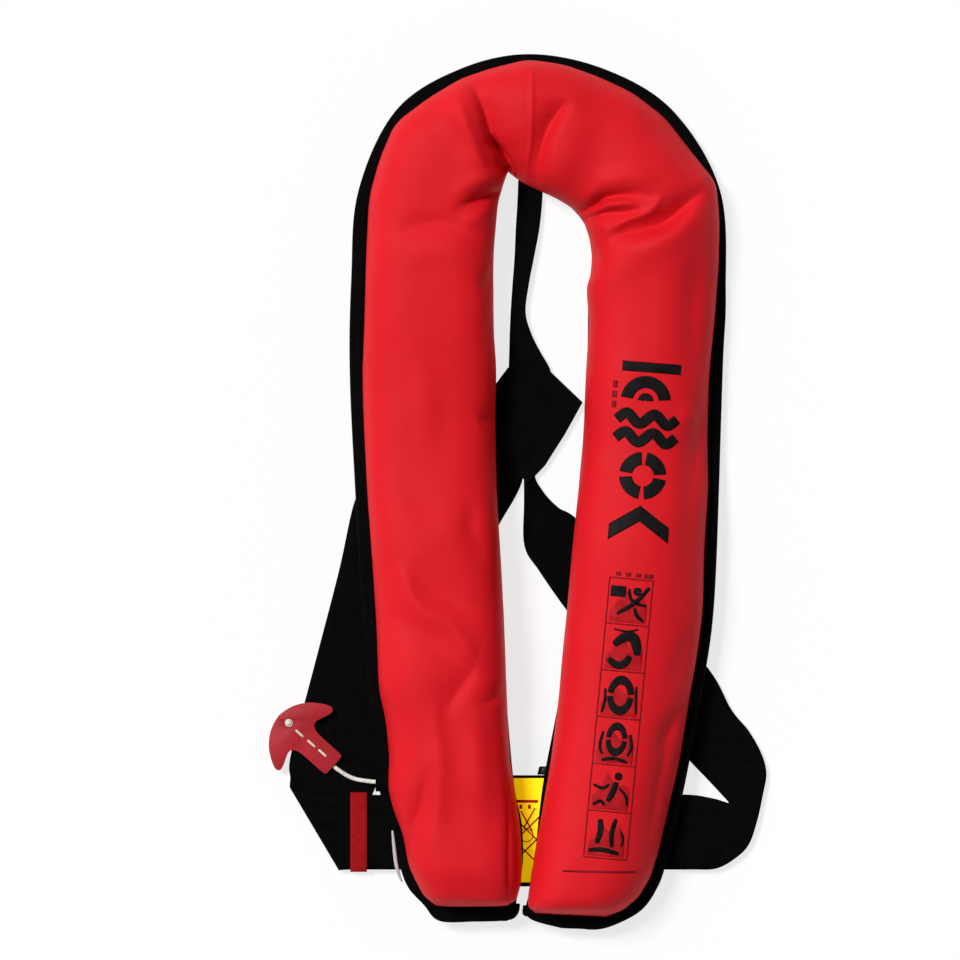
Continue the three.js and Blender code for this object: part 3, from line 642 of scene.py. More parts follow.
def fold_depth(x, y):
    """How deep the folds are at plan points, all of them together."""
    total = np.zeros_like(x)
    for points, reach_left, reach_right, roundness in FOLDS:
        line = spline(points, np.linspace(0, 1, 12 * (len(points) - 1) + 1))
        best = np.full(x.shape, 1e9)
        depth = np.zeros_like(x)
        side = np.zeros_like(x)
        for (x0, y0, d0), (x1, y1, d1) in zip(line[:-1], line[1:]):
            ex, ey = x1 - x0, y1 - y0
            w = np.clip(((x - x0) * ex + (y - y0) * ey) / (ex * ex + ey * ey + 1e-9), 0, 1)
            dx, dy = x - (x0 + w * ex), y - (y0 + w * ey)
            distance = np.hypot(dx, dy)
            nearer = distance < best
            best = np.where(nearer, distance, best)
            depth = np.where(nearer, d0 + w * (d1 - d0), depth)
            side = np.where(nearer, ex * dy - ey * dx, side)
        reach = np.where(side > 0, reach_left, reach_right)
        total += depth * np.exp(-((best / reach) ** roundness))
    return total


def wander(points, scale_mm, seed):
    """Smooth noise from -1 to 1 at drafting points."""
    offset = Vector((seed * 13.7, seed * 7.3, seed * 3.1))
    return np.array([noise.noise(Vector(p) / scale_mm + offset) for p in points])


def cover_surface():
    """The cover as a grid of points, before thickness: rows along the horseshoe, columns
    over it from the outer edge to the inner."""
    t = np.linspace(0, 1, COVER_ROWS)
    plan = rounded_chords(COVER, t, CORNER_ROUNDING)
    outer, inner = plan[:, :2], plan[:, 2:]
    end = np.minimum(t, 1 - t)
    rise = np.clip(end / FOOT_SHARE, 0, 1)
    height = COVER_HEIGHT * (FOOT_START + (1 - FOOT_START) * np.sqrt(1 - (1 - rise) ** 2.2))
    height *= 1 + 0.035 * np.sin(t * 41) + 0.02 * np.sin(t * 97 + 1)
    base = panel_base((outer[:, 1] + inner[:, 1]) / 2) + PANEL_THICK + 0.2

    angle = np.linspace(0, math.pi, COVER_COLUMNS)
    c, s = np.cos(angle), np.sin(angle)
    blend = smoothstep(t, 0.38, 0.62)[:, None]
    outer_power = 2 / (LEFT_FULLNESS[0] + (RIGHT_FULLNESS[0] - LEFT_FULLNESS[0]) * blend)
    inner_power = 2 / (LEFT_FULLNESS[1] + (RIGHT_FULLNESS[1] - LEFT_FULLNESS[1]) * blend)
    across = np.where(c > 0, np.abs(c) ** outer_power, -np.abs(c) ** inner_power)
    up = np.where(c > 0, s**outer_power, s**inner_power)
    share = (1 - across) / 2
    x = outer[:, :1] + (inner[:, :1] - outer[:, :1]) * share
    y = outer[:, 1:] + (inner[:, 1:] - outer[:, 1:]) * share
    z = base[:, None] + height[:, None] * up
    return np.stack([x, y, z], axis=-1), height, base


def grid_normals(surface):
    along = np.gradient(surface, axis=0)
    over = np.gradient(surface, axis=1)
    normals = np.cross(over, along)
    normals /= np.linalg.norm(normals, axis=-1)[..., None] + 1e-12
    if normals[len(normals) // 2, COVER_COLUMNS // 2, 2] < 0:
        normals = -normals
    return normals


HARDWARE = [
    "bladder_manifold", "firing_head", "retaining_nut", "firing_lever", "co2_cylinder", "bobbin",
    "bobbin_cap", "oral_tube", "oral_flange", "oral_cap", "whistle",
]
HARDWARE_GAP = 3.0
CAP_TRAVEL_M = 0.025
SKIRT_ROUNDS = 90


def hardware_tops():
    """The hard parts that the cover must stay clear of, with the mouthpiece cap's way off."""
    places = [(node, 0.0) for node in HARDWARE]
    places += [("oral_cap", -share * CAP_TRAVEL_M) for share in (0.4, 0.8, 1.0)]
    points, faces = [], []
    for node, shift in places:
        mesh = frame["nodes"][node].data
        first = len(points)
        points += [v.co + Vector((0, shift, 0)) for v in mesh.vertices]
        faces += [tuple(first + v for v in p.vertices) for p in mesh.polygons]
    return BVHTree.FromPolygons(points, faces)


def keep_clear(surface):
    """Raises the parts of the surface that would touch the hardware, with a smooth skirt."""
    tree = hardware_tops()
    rows, columns, _ = surface.shape
    need = np.zeros((rows, columns))
    for i in range(rows):
        for j in range(columns):
            x, y, _ = metres(surface[i, j])
            hit = drop(tree, x, y)
            if hit is not None:
                need[i, j] = max(0.0, hit.z * 1000 + HARDWARE_GAP - surface[i, j, 2])
    lift = need.copy()
    for _ in range(SKIRT_ROUNDS):
        around = np.zeros_like(lift)
        around[1:-1, 1:-1] = (lift[2:, 1:-1] + lift[:-2, 1:-1] + lift[1:-1, 2:] + lift[1:-1, :-2]) / 4
        lift = np.maximum(need, around)
    surface[..., 2] += lift


def make_cover():
    """The padded cover. Returns a search tree of its outer skin."""
    surface, height, base = cover_surface()
    normals = grid_normals(surface)
    flat = surface.reshape(-1, 3)
    lifted = (surface[..., 2] - base[:, None]) / height[:, None]
    hold = smoothstep(lifted, 0.05, 0.6)
    depth = fold_depth(surface[..., 0], surface[..., 1])
    depth = np.minimum(depth, surface[..., 2] - base[:, None] - 1.0)
    waves = []
    for seed, (size, reach) in enumerate((WANDER_BROAD, WANDER_MIDDLE, WANDER_FINE), start=1):
        waves.append(wander(flat, size, seed).reshape(depth.shape) * reach)
    broad, middle, fine = waves
    swell = (broad + middle) * hold + fine
    pressed = depth * hold
    surface = surface + normals * (swell - SIDEWAYS_SHARE * pressed)[..., None]
    surface[..., 2] -= (1 - SIDEWAYS_SHARE) * pressed
    surface[..., 2] = np.maximum(surface[..., 2], base[:, None])
    keep_clear(surface)
    rows, columns = depth.shape
    points = surface.reshape(-1, 3)
    cover = make_piece("cover_cloth", points, grid_faces(rows, columns), RED)
    orient_up(cover)
    top = BVHTree.FromObject(cover, bpy.context.evaluated_depsgraph_get())
    close_feet(cover, rows, columns)
    add_modifier(cover, "SOLIDIFY", thickness=COVER_CLOTH / 1000, offset=-1.0, use_even_offset=False)
    apply_modifiers(cover)
    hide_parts("front_cover")
    return top


BLADDER_GAP = 2.6
FEELER_REACH_M = 0.0035


def make_bladder(top):
    """The folded bladder, pressed down wherever a fold of the cover pushes on it."""
    bladder = node_copy("bladder_cloth", "bladder", BLADDER_CLOTH)
    feelers = [(0, 0)]
    for turn in range(8):
        angle = math.pi * turn / 4
        feelers.append((FEELER_REACH_M * math.cos(angle), FEELER_REACH_M * math.sin(angle)))
    with editing(bladder.data) as work:
        bmesh.ops.remove_doubles(work, verts=work.verts, dist=WELD_M)
        bmesh.ops.subdivide_edges(work, edges=work.edges, cuts=4, use_grid_fill=True)
        low = min(v.co.z for v in work.verts)
        for vertex in work.verts:
            for dx, dy in feelers:
                hit = drop(top, vertex.co.x + dx, vertex.co.y + dy)
                if hit is not None:
                    vertex.co.z = max(low, min(vertex.co.z, hit.z - BLADDER_GAP / 1000))
    bladder.data.shade_smooth()
    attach(bladder, "jacket")
    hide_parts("bladder")


def close_feet(piece, rows, columns):
    """Fills the two open ends of the cover's arch with strips across it."""
    with editing(piece.data) as work:
        work.verts.ensure_lookup_table()
        for row in (0, rows - 1):
            ring = [work.verts[row * columns + j] for j in range(columns)]
            for j in range(columns // 2 - 1):
                work.faces.new([ring[j], ring[j + 1], ring[columns - 2 - j], ring[columns - 1 - j]])
        bmesh.ops.recalc_face_normals(work, faces=work.faces)
    piece.data.shade_smooth()
    orient_up(piece)


# ---------------------------------------------------------------------------------------
# Back panel and binding

PANEL_ROWS = 260
PANEL_COLUMNS = 9
INNER_INSET = 0.5
OUTER_INSET = 1.7


def make_panel():
    """The back panel, a little inside the plan so that the binding covers its rim."""
    points = []
    for ox, oy, ix, iy in spline(PANEL, np.linspace(0, 1, PANEL_ROWS)):
        width = math.hypot(ox - ix, oy - iy)
        base = float(panel_base((oy + iy) / 2))
        for share in np.linspace(INNER_INSET / width, 1 - OUTER_INSET / width, PANEL_COLUMNS):
            points.append((ix + (ox - ix) * share, iy + (oy - iy) * share, base + PANEL_THICK / 2))
    points = np.array(points)
    points[:, 2] += 0.5 * wander(points, 40, 5)
    faces = grid_faces(PANEL_ROWS, PANEL_COLUMNS)
    panel = make_piece("back_panel_cloth", points, faces, BLACK)
    orient_up(panel)
    thicken(panel, PANEL_THICK)
    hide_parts("back_panel")


def binding_route():
    """Outer outline of the black edge, with its turn round both feet."""
    outer = [(ox, oy) for ox, oy, _, _ in PANEL]
    left_foot = [(1.5, -289), (0.5, -295), (-3.5, -299.5), (-12, -301), (-30, -301.5)]
    right_foot = [(38, -305.5), (20, -301.5), (9, -298.5), (3.5, -296.5), (3.5, -290)]
    return spline(left_foot + outer + right_foot, np.linspace(0, 1, 900))


def binding_width(route):
    """The tape's width along the route: narrower over the collar, wider at the feet."""
    x, y = route[:, 0], route[:, 1]
    width = np.full(len(route), 10.0)
    width -= 2.2 * np.exp(-(((x - 8) / 45) ** 2)) * (y > 250)
    width += 1.5 * smoothstep(-y, 255, 290)
    return width


BINDING_HALF = 1.9


def make_binding():
    """Folded tape round the panel's edge: a flattened tube section with a rolled outer rim."""
    route = binding_route()
    tangent = np.gradient(route, axis=0)
    tangent /= np.linalg.norm(tangent, axis=1)[:, None]
    inward = np.stack([tangent[:, 1], -tangent[:, 0]], axis=1)
    if inward[len(route) // 4, 0] < 0:
        inward = -inward
    width = binding_width(route)
    base = panel_base(route[:, 1])
    wave = 0.5 * np.sin(np.linspace(0, 60, len(route))) + 0.3 * np.sin(np.linspace(0, 173, len(route)))
    thick = BINDING_HALF
    rim = [(1 - math.cos(a), math.sin(a)) for a in np.linspace(-math.pi / 2, math.pi / 2, 7)]
    points = []
    for place, side, w, b, lift in zip(route, inward, width, base, wave):
        middle = b + PANEL_THICK / 2 + 0.3 * lift
        section = [(w, -thick + 0.25), (w * 0.55, -thick)]
        section += [(thick * dx, thick * dz) for dx, dz in rim]
        section += [(w * 0.55, thick), (w, thick - 0.15), (w + 0.35, thick - 0.6), (w + 0.35, -thick + 0.6)]
        for d, z in section:
            points.append((*(place + side * d), middle + z))
    faces = tube_faces(len(route), len(section))
    binding = make_piece("binding_tape", points, faces, BLACK)
    recalculate(binding)
    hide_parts("edge_binding")
    inset = route + inward * (width * 0.72)[:, None]
    seam = np.column_stack([inset, base + PANEL_THICK / 2 + thick])
    stitches("binding_stitches", seam, 3.0, 2.0, 0.3)


def stitches(name, route, spacing, length, radius):
    """Small sewn stitches along a drafting route, as one piece of many short tubes."""
    route = np.asarray(route, float)
    steps = np.linalg.norm(np.diff(route, axis=0), axis=1)
    travelled = np.concatenate([[0], np.cumsum(steps)])
    count = int(travelled[-1] // spacing)
    points, faces = [], []
    sides, rings = 6, 5
    for k in range(count):
        start = (k + 0.2) * spacing
        places = start + np.linspace(0, length, rings)
        centre = np.stack([np.interp(places, travelled, route[:, i]) for i in range(3)], axis=1)
        along = centre[-1] - centre[0]
        along /= np.linalg.norm(along) + 1e-9
        side = np.cross(along, (0, 0, 1))
        over = np.cross(side, along)
        first = len(points)
        for i in range(rings):
            w = i / (rings - 1)
            swell = radius * math.sin(math.pi * (0.12 + 0.76 * w))
            for j in range(sides):
                angle = 2 * math.pi * j / sides
                points.append(centre[i] + swell * (math.cos(angle) * side + math.sin(angle) * over))
        faces += [tuple(first + v for v in face) for face in tube_faces(rings, sides)]
    recalculate(make_piece(name, points, faces, BLACK_THREAD))


# ---------------------------------------------------------------------------------------
# Webbing and straps

WEB_THICK = 1.9
WEB_COLUMNS = 13
WEB_CROWN = 0.35


def ribbon(name, node, lines, steps):
    """A strap through cross lines. Each line is its left end x, y, z and right end x, y, z.
    Its UV runs across and along it in metres, for the weave."""
    lines = spline([(*a, *b) for a, b in lines], np.linspace(0, 1, steps))
    left, right = lines[:, :3], lines[:, 3:]
    middle = (left + right) / 2
    along = np.concatenate([[0], np.cumsum(np.linalg.norm(np.diff(middle, axis=0), axis=1))])
    points, uvs = [], []
    for i in range(steps):
        width = np.linalg.norm(right[i] - left[i])
        for share in np.linspace(0, 1, WEB_COLUMNS):
            x, y, z = left[i] + (right[i] - left[i]) * share
            points.append((x, y, z + WEB_CROWN * math.sin(math.pi * share)))
            uvs.append((share * width / 1000, along[i] / 1000))
    faces = grid_faces(steps, WEB_COLUMNS)
    strap = make_piece(name, points, faces, WEB, uvs=uvs)
    thicken(strap, WEB_THICK)
    recalculate(strap)
    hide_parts(node)


BELT_TOP = -213.0
BELT_FOOT = -265.4
BELT_MIDDLE_Z = 6.0
STRAP_MIDDLE_Z = 2.5


def belt_line(x):
    return ((x, BELT_TOP, BELT_MIDDLE_Z), (x, BELT_FOOT, BELT_MIDDLE_Z))


def make_left_webbing():
    z = STRAP_MIDDLE_Z
    lines = [belt_line(x) for x in (-26, -50, -75, -100, -118)]
    lines += [
        ((-135, -212.6, 6.0), (-119, -265.5, 6.0)),
        ((-149, -211, 6.1), (-122.2, -265.6, 6.1)),
        ((-156.5, -209.5, 5.6), (-124.2, -265.6, 5.6)),
        ((-159.6, -207, 4.2), (-125, -265.2, 4.2)),
        ((-159.8, -201, 2.8), (-123.2, -261, 2.8)),
        ((-160.6, -192, z), (-118, -249, z)),
        ((-157, -174, z), (-107, -224, z)),
        ((-149.5, -147, z), (-97, -200, z)),
        ((-140, -111, z), (-84, -160, z)),
        ((-125.5, -55, z), (-72, -95, z)),
        ((-115, -8, z), (-66, -45, z)),
        ((-104, 14, z), (-62, -10, z)),
    ]
    ribbon("webbing_left_strap", "webbing_left", lines, 190)
    edge = [(-26, BELT_TOP - 4, 7.3), (-118, BELT_TOP - 4, 7.3), (-146, BELT_TOP - 3.4, 7.5)]
    stitches("belt_stitches_left", edge, 3.4, 2.2, 0.35)


def make_right_webbing():
    z = STRAP_MIDDLE_Z
    lines = [belt_line(x) for x in (15, 45, 75, 100, 122)]
    lines += [
        ((137, -215.5, 6.2), (139, -264.8, 5.6)),
        ((144, -217.5, 6.4), (152, -258, 5.2)),
        ((147, -218.5, 6.4), (162, -248, 4.8)),
        ((148, -218.6, 6.0), (168, -231, 4.4)),
        ((147.5, -217.5, 5.2), (172, -213, 4.0)),
        ((145, -215, 4.2), (174.5, -198, 3.4)),
        ((139, -208.5, 3.2), (171, -184, 2.9)),
        ((131, -200, z), (162, -168, z)),
        ((120.8, -189.3, z), (149.8, -153, z)),
        ((104, -170, z), (133.5, -124, z)),
        ((70, -131, z), (88, -72, z)),
        ((36, -86, z), (44, -22, z)),
        ((15, -56, z), (28, -11, z)),
        ((4.6, -38, z), (17, 1, z)),
        ((4.4, -6, z), (11.5, 14, z)),
        ((4.4, 44, z), (12, 46, z)),
    ]
    ribbon("webbing_right_strap", "webbing_right", lines, 210)


def make_yoke():
    z = STRAP_MIDDLE_Z
    ribbon("yoke_strap_left_web", "yoke_strap_left", [
        ((-60, -30, z), (-60, -109, z)), ((-46.4, -4.9, z), (-30, -54, z)), ((-28.5, 28, z), (-13, -23, z)),
        ((-20, 42, z), (3.2, 8, z)), ((-12, 50, z), (3.4, 40, z)),
    ], 60)
    ribbon("back_strap_web", "back_strap", [
        ((0, 262, z), (18, 262, z)), ((0.3, 225, z), (17.8, 225, z)), ((-0.2, 205, 2.8), (17, 203, 2.8)),
        ((-1.4, 185, 3.0), (15, 184, 3.4)), ((-2.2, 165, 3.2), (11.5, 165, 4.4)),
        ((-3.6, 145, 3.0), (7.6, 145, 4.8)), ((-4.8, 127, 2.8), (5.4, 126, 4.4)),
        ((-5.6, 112, 2.6), (9.4, 111, 3.2)), ((-6, 99, z), (15.5, 98.5, z)), ((-6.4, 86, z), (22.5, 86, z)),
        ((-6, 74, z), (24, 76, z)),
    ], 120)
    end = plate("back_strap_folded_end", [(-4, 226), (22, 226), (22, 260), (-4, 260)], (0.2, 1.4), WEB)
    make_yoke_patch("yoke_front", 4.0, 1.2, "yoke_patch_front", 1.0)
    make_yoke_patch("yoke_back", 0.6, 1.1, "yoke_patch_back", 0.0)


YOKE = [(-7, 87), (22, 85), (45.5, 62.5), (33, 40), (19, 18), (7, 5.5), (-9, 22), (-30, 48), (-27, 60)]


def make_yoke_patch(name, z, thickness, node, swell):
    """The diamond of cloth over the crossing, with a soft ridge down its middle."""
    work = bmesh.new()
    work.faces.new([work.verts.new((x, y, 0)) for x, y in YOKE])
    bmesh.ops.triangulate(work, faces=work.faces)
    for _ in range(4):
        bmesh.ops.subdivide_edges(work, edges=work.edges, cuts=1, use_grid_fill=True)
    points = [tuple(v.co) for v in work.verts]
    work.verts.index_update()
    faces = [tuple(v.index for v in f.verts) for f in work.faces]
    work.free()
    lifted = []
    for x, y, _ in points:
        off_ridge = (x - 4 - (y - 10) * 0.05) / 3.0
        ridge = math.exp(-(off_ridge**2)) * float(smoothstep(60 - y, 0, 40))
        lifted.append((x, y, z + swell * (0.9 * ridge + 0.3 * noise.noise(Vector((x, y, 0)) / 18))))
    patch = make_piece(name, lifted, faces, BLACK)
    orient_up(patch)
    thicken(patch, thickness)
    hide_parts(node)


def plate(name, outline, z, material, body="jacket", bevel=0.4, holes=()):
    """A flat plate of any outline, with softened edges. Its z is a range."""
    z0, z1 = z
    curve = bpy.data.curves.new(name, "CURVE")
    curve.dimensions = "2D"
    curve.fill_mode = "BOTH"
    for ring in (outline, *holes):
        line = curve.splines.new("POLY")
        line.points.add(len(ring) - 1)
        for point, (x, y) in zip(line.points, ring):
            mx, my, _ = metres((x, y, 0))
            point.co = (mx, my, 0, 1)
        line.use_cyclic_u = True
    curve.extrude = (z1 - z0) / 2000
    holder = add_object(name + "_curve", curve)
    depsgraph = bpy.context.evaluated_depsgraph_get()
    mesh = bpy.data.meshes.new_from_object(holder.evaluated_get(depsgraph))
    bpy.data.objects.remove(holder)
    for vertex in mesh.vertices:
        vertex.co.z += (z0 + z1) / 2000
    mesh.materials.clear()
    mesh.materials.append(material)
    piece = add_object(name, mesh)
    with editing(mesh) as work:
        bmesh.ops.remove_doubles(work, verts=work.verts, dist=WELD_M)
        bmesh.ops.dissolve_limit(work, angle_limit=0.01, verts=work.verts, edges=work.edges)
        bmesh.ops.recalc_face_normals(work, faces=work.faces)
    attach(piece, body)
    soften(piece, bevel)
    return piece


def hollow_band(name, x, y, z, wall, material, body, corner=1.2):
    """A loop of tape round something flat, open along X. The ranges are its inner clearance."""
    section = []
    y0, y1 = y[0] + corner, y[1] - corner
    z0, z1 = z[0] + corner, z[1] - corner
    for cy, cz, turn in ((y1, z1, 0), (y0, z1, 90), (y0, z0, 180), (y1, z0, 270)):
        for step in range(5):
            angle = math.radians(turn + 90 * step / 4)
            section.append((cy + corner * math.cos(angle), cz + corner * math.sin(angle), angle))
    steps = 9
    points, uvs = [], []
    for i in range(steps):
        px = x[0] + (x[1] - x[0]) * i / (steps - 1)
        travelled = 0
        last = None
        for sy, sz, angle in section:
            here = (px, sy + wall / 2 * math.cos(angle), sz + wall / 2 * math.sin(angle))
            if last:
                travelled += math.dist(here, last)
            last = here
            points.append(here)
            uvs.append(((px - x[0]) / 1000, travelled / 1000))
    faces = grid_faces(steps, len(section), True)
    band = make_piece(name, points, faces, material, body, uvs)
    recalculate(band)
    thicken(band, wall)
    recalculate(band)
    return band


BACKING_Z = (11.9, 13.2)


def make_stud_tab():
    outline = [(13.5, -198.6), (28, -198.6), (28, -192.8), (15, -192.8)]
    tab = plate("stud_tab_cloth", outline, BACKING_Z, BLACK)
    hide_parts("stud_tab")


def make_edge_strip():
    """A loose end of pale piping, tapering, on the rim of the left lobe's edge."""
    route = [(-87.9, -237.5), (-86.8, -248.6), (-85.4, -260.3), (-83.4, -268.4), (-81.2, -273.6)]
    line = spline(route, np.linspace(0, 1, 40))
    sides = 12
    points = []
    for i, (x, y) in enumerate(line):
        v = i / (len(line) - 1)
        reach = 1.35 * math.sin(math.pi * (0.12 + 0.8 * v)) ** 0.7
        for j in range(sides):
            angle = 2 * math.pi * j / sides
            points.append((x + reach * math.cos(angle), y, 19.3 + 0.65 * reach * math.sin(angle)))
    strip = make_piece("edge_strip_piping", points, tube_faces(len(line), sides), PIPING)
    recalculate(strip)
    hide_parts("edge_strip")


def make_keeper():
    low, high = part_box("belt_keeper")
    x = (1000 * low[0] - ORIGIN_X, 1000 * high[0] - ORIGIN_X)
    y = (BELT_FOOT - 0.8, BELT_TOP + 1.0)
    band = hollow_band("keeper_band", x, y, (4.6, 7.5), 0.9, KEEPER, "keeper")
    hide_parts("belt_keeper")


def make_belt_loops():
    for name, x in (("belt_loop_left", (-74, -46)), ("belt_loop_right", (74, 90))):
        y = (BELT_FOOT - 1.5, BELT_TOP + 1.5)
        band = hollow_band(name + "_tape", x, y, (4.2, 13.6), 1.2, WEB, "jacket")
        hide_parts(name)


# ---------------------------------------------------------------------------------------
# Pull cord and toggle

CORD_ROUTE = [
    (-79.5, -201.5, 26.5), (-82.3, -201.9, 25.5), (-85, -202.3, 24.4), (-88, -202.7, 23.2),
    (-91, -203, 22.3), (-94, -203.1, 21.8), (-97, -203.2, 21.2), (-99.8, -203.3, 19.6),
    (-102.2, -203.3, 17), (-104.2, -203.2, 14), (-106.1, -203.1, 11), (-108.2, -202.9, 8.2),
    (-110.8, -202.6, 6.3), (-113.8, -202, 5.4), (-117, -200.9, 5.3), (-120.4, -199.2, 5.4),
    (-123.8, -197, 5.7), (-126.8, -194.9, 6.1), (-129.4, -192.8, 6.3),
]
CORD_DIAMETER = 3.0
TOGGLE_CROWN = (-168.0, -157.4)
TOGGLE_TURN = math.radians(-41.8)
TOGGLE_Z = (3.8, 8.8)
TOGGLE_HOLE = (8.7, 1)


def toggle_place(x, y):
    c, s = math.cos(TOGGLE_TURN), math.sin(TOGGLE_TURN)
    return (TOGGLE_CROWN[0] + x * c - y * s, TOGGLE_CROWN[1] + x * s + y * c)


def circle(x, y, radius, sides=28):
    angles = [2 * math.pi * i / sides for i in range(sides)]
    return [(x + radius * math.cos(a), y + radius * math.sin(a)) for a in angles]


def toggle_outline():
    """The anchor shape, from the middle of its crown round one fluke and down the stem, and back."""
    crown = [(0, 0), (1.2, 6.5), (4.0, 13.5), (9.5, 20.8), (16.5, 26.2), (21.5, 28.8)]
    tip = [(21.5, 28.8), (24.6, 29.2), (26.3, 27.2), (25.8, 23.6)]
    arm = [(25.8, 23.6), (23.6, 18.5), (22.4, 14.4), (23.4, 11.4), (27, 9.6), (33, 9.0)]
    stem = [(33, 9.0), (42, 9.0), (49.6, 8.9), (51.8, 8.2), (52.3, 6.0)]
    half = [(0, 0)]
    for points, count in ((crown, 26), (tip, 10), (arm, 20), (stem, 14)):
        half += [tuple(p) for p in spline(points, np.linspace(0, 1, count))[1:]]
    return half + [(x, -y) for x, y in reversed(half[1:])]


def make_toggle():
    outline = [toggle_place(x, y) for x, y in toggle_outline()]
    hole = circle(*toggle_place(*TOGGLE_HOLE), 2.8)
    toggle = plate("toggle_handle", outline, TOGGLE_Z, TOGGLE_RED, "pull_handle", 1.3, (hole[::-1],))
    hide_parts("pull_toggle")
    pieces = [toggle]
    rim = []
    for angle in np.linspace(0, 2 * math.pi, 41):
        x, y = TOGGLE_HOLE[0] + 3.3 * math.cos(angle), TOGGLE_HOLE[1] + 3.3 * math.sin(angle)
        rim.append((*toggle_place(x, y), TOGGLE_Z[1] - 0.25))
    eyelet = round_tube(rim, 0.55, 8, "pull_handle", "toggle_eyelet", TOGGLE_RED)
    pieces.append(eyelet)
    pieces.append(toggle_knot())
    for k, x in enumerate((19.4, 30.4, 40.6)):
        loop = []
        for w in np.linspace(-1, 1, 13):
            rise = 1.25 * math.sqrt(max(0.0, 1 - w**6)) - 0.9
            loop.append((*toggle_place(x + 3.4 * w, 0.6 + 0.25 * k), TOGGLE_Z[1] + rise))
        name = f"toggle_stitch_{k + 1}"
        pieces.append(round_tube(loop, 0.85, 10, "pull_handle", name, THREAD))
    return pieces


def toggle_knot():
    """The cord's stopper knot, a flattened ball seen in the hole."""
    rings, sides = 10, 20
    points = []
    for i in range(rings):
        angle = math.pi * (i + 0.5) / rings
        for j in range(sides):
            turn = 2 * math.pi * j / sides
            reach = 2.35 * math.sin(angle) * (1 + 0.05 * math.sin(5 * turn))
            x, y = TOGGLE_HOLE[0] + reach * math.cos(turn), TOGGLE_HOLE[1] + reach * math.sin(turn)
            points.append((*toggle_place(x, y), TOGGLE_Z[1] - 1.0 + 1.9 * math.cos(angle)))
    knot = make_piece("toggle_knot", points, tube_faces(rings, sides), THREAD, "pull_handle")
    recalculate(knot)
    return knot


def make_cord_tunnel():
    """A short tape sewn over the cord where it crosses the panel's edge."""
    rows, columns = 12, 15
    points = []
    for i in range(rows):
        v = i / (rows - 1)
        x = -99.6 + 10.5 * v
        crest = 27.4 + 1.6 * v
        foot = 18.9 + 1.6 * v
        for j in range(columns):
            w = 2 * j / (columns - 1) - 1
            rise = math.cos(w * math.pi / 2) ** 0.75 if abs(w) < 1 else 0.0
            points.append((x, -203.1 + 6.4 * w, foot + (crest - foot) * rise))
    tunnel = make_piece("cord_tunnel", points, grid_faces(rows, columns), BLACK)
    orient_up(tunnel)
    thicken(tunnel, 0.7, 1.0)


def make_cord():
    """The pull cord, as one tube from inside the jacket out towards the toggle. It rides on no body."""
    route = spline(CORD_ROUTE, np.linspace(0, 1, 110))
    cord = round_tube(route, CORD_DIAMETER / 2, 16, None, "pull_cord_line", CORD)
    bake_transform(cord)
    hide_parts("pull_cord")


# ---------------------------------------------------------------------------------------
# Printing on the right lobe, and the label

DRAPE_STEP = 1.6
INK_THICK = 0.12


def drape(name, shapes, top, material, lift):
    """Flat printed shapes laid on the cover: each is cut into small faces, dropped on the
    cloth below it and given a film's thickness."""
    points, faces = [], []
    for outline in shapes:
        work = bmesh.new()
        work.faces.new([work.verts.new((x, y, 0)) for x, y in outline])
        xs, ys = zip(*outline)
        for normal, values in ((Vector((1, 0, 0)), xs), (Vector((0, 1, 0)), ys)):
            for cut in np.arange(min(values) + DRAPE_STEP / 2, max(values), DRAPE_STEP):
                geometry = work.verts[:] + work.edges[:] + work.faces[:]
                bmesh.ops.bisect_plane(work, geom=geometry, plane_co=normal * cut, plane_no=normal)
        bmesh.ops.triangulate(work, faces=work.faces)
        work.verts.index_update()
        first = len(points)
        for vertex in work.verts:
            x, y, _ = metres(vertex.co)
            hit = drop(top, x, y)
            points.append((vertex.co.x, vertex.co.y, hit.z * 1000 + lift))
        faces += [tuple(first + v.index for v in f.verts) for f in work.faces]
        work.free()
    piece = make_piece(name, points, faces, material)
    orient_up(piece)
    thicken(piece, INK_THICK)


def tilted(centre, angle_degrees, shapes):
    """Shapes given about a centre, turned together."""
    turn = math.radians(angle_degrees)
    c, s = math.cos(turn), math.sin(turn)
    return [[(centre[0] + x * c - y * s, centre[1] + x * s + y * c) for x, y in shape] for shape in shapes]


def bar(x0, x1, y0, y1):
    return [(x0, y0), (x1, y0), (x1, y1), (x0, y1)]


def chevron(y, half, rise, thick):
    lower = [(-half, y), (0, y + rise), (half, y)]
    return lower + [(x, low + thick) for x, low in reversed(lower)]


def arc(x, y, inner, outer, start, finish, stretch=1.0, parts=16):
    """A curved band between two angles in degrees; stretch lengthens it along Y."""
    angles = [math.radians(start + (finish - start) * i / parts) for i in range(parts + 1)]
    rim = [(x + outer * math.cos(a), y + stretch * outer * math.sin(a)) for a in angles]
    hole = [(x + inner * math.cos(a), y + stretch * inner * math.sin(a)) for a in reversed(angles)]
    return rim + hole


def split_ring(x, y, inner, outer, stretch):
    return [arc(x, y, inner, outer, start + 6, start + 174, stretch) for start in (0, 180)]


def stroke(points, width, taper=0.5, count=16):
    """A brush stroke along a curve, as one outline."""
    line = spline(points, np.linspace(0, 1, count))
    along = np.gradient(line, axis=0)
    along /= np.linalg.norm(along, axis=1)[:, None]
    side = np.stack([-along[:, 1], along[:, 0]], axis=1)
    swell = taper + (1 - taper) * np.sin(np.linspace(0.12, math.pi - 0.12, count)) ** 0.6
    reach = side * (swell * width / 2)[:, None]
    return [tuple(p) for p in np.concatenate([line + reach, (line - reach)[::-1]])]


SIGNS_CENTRE = (69.5, -158.0)
SIGNS_TILT = -5.4
SIGNS_HALF = 15.5
SIGNS_LENGTH = 196.0
MARK_CENTRE = (88.0, 28.0)
MARK_TILT = -4.5


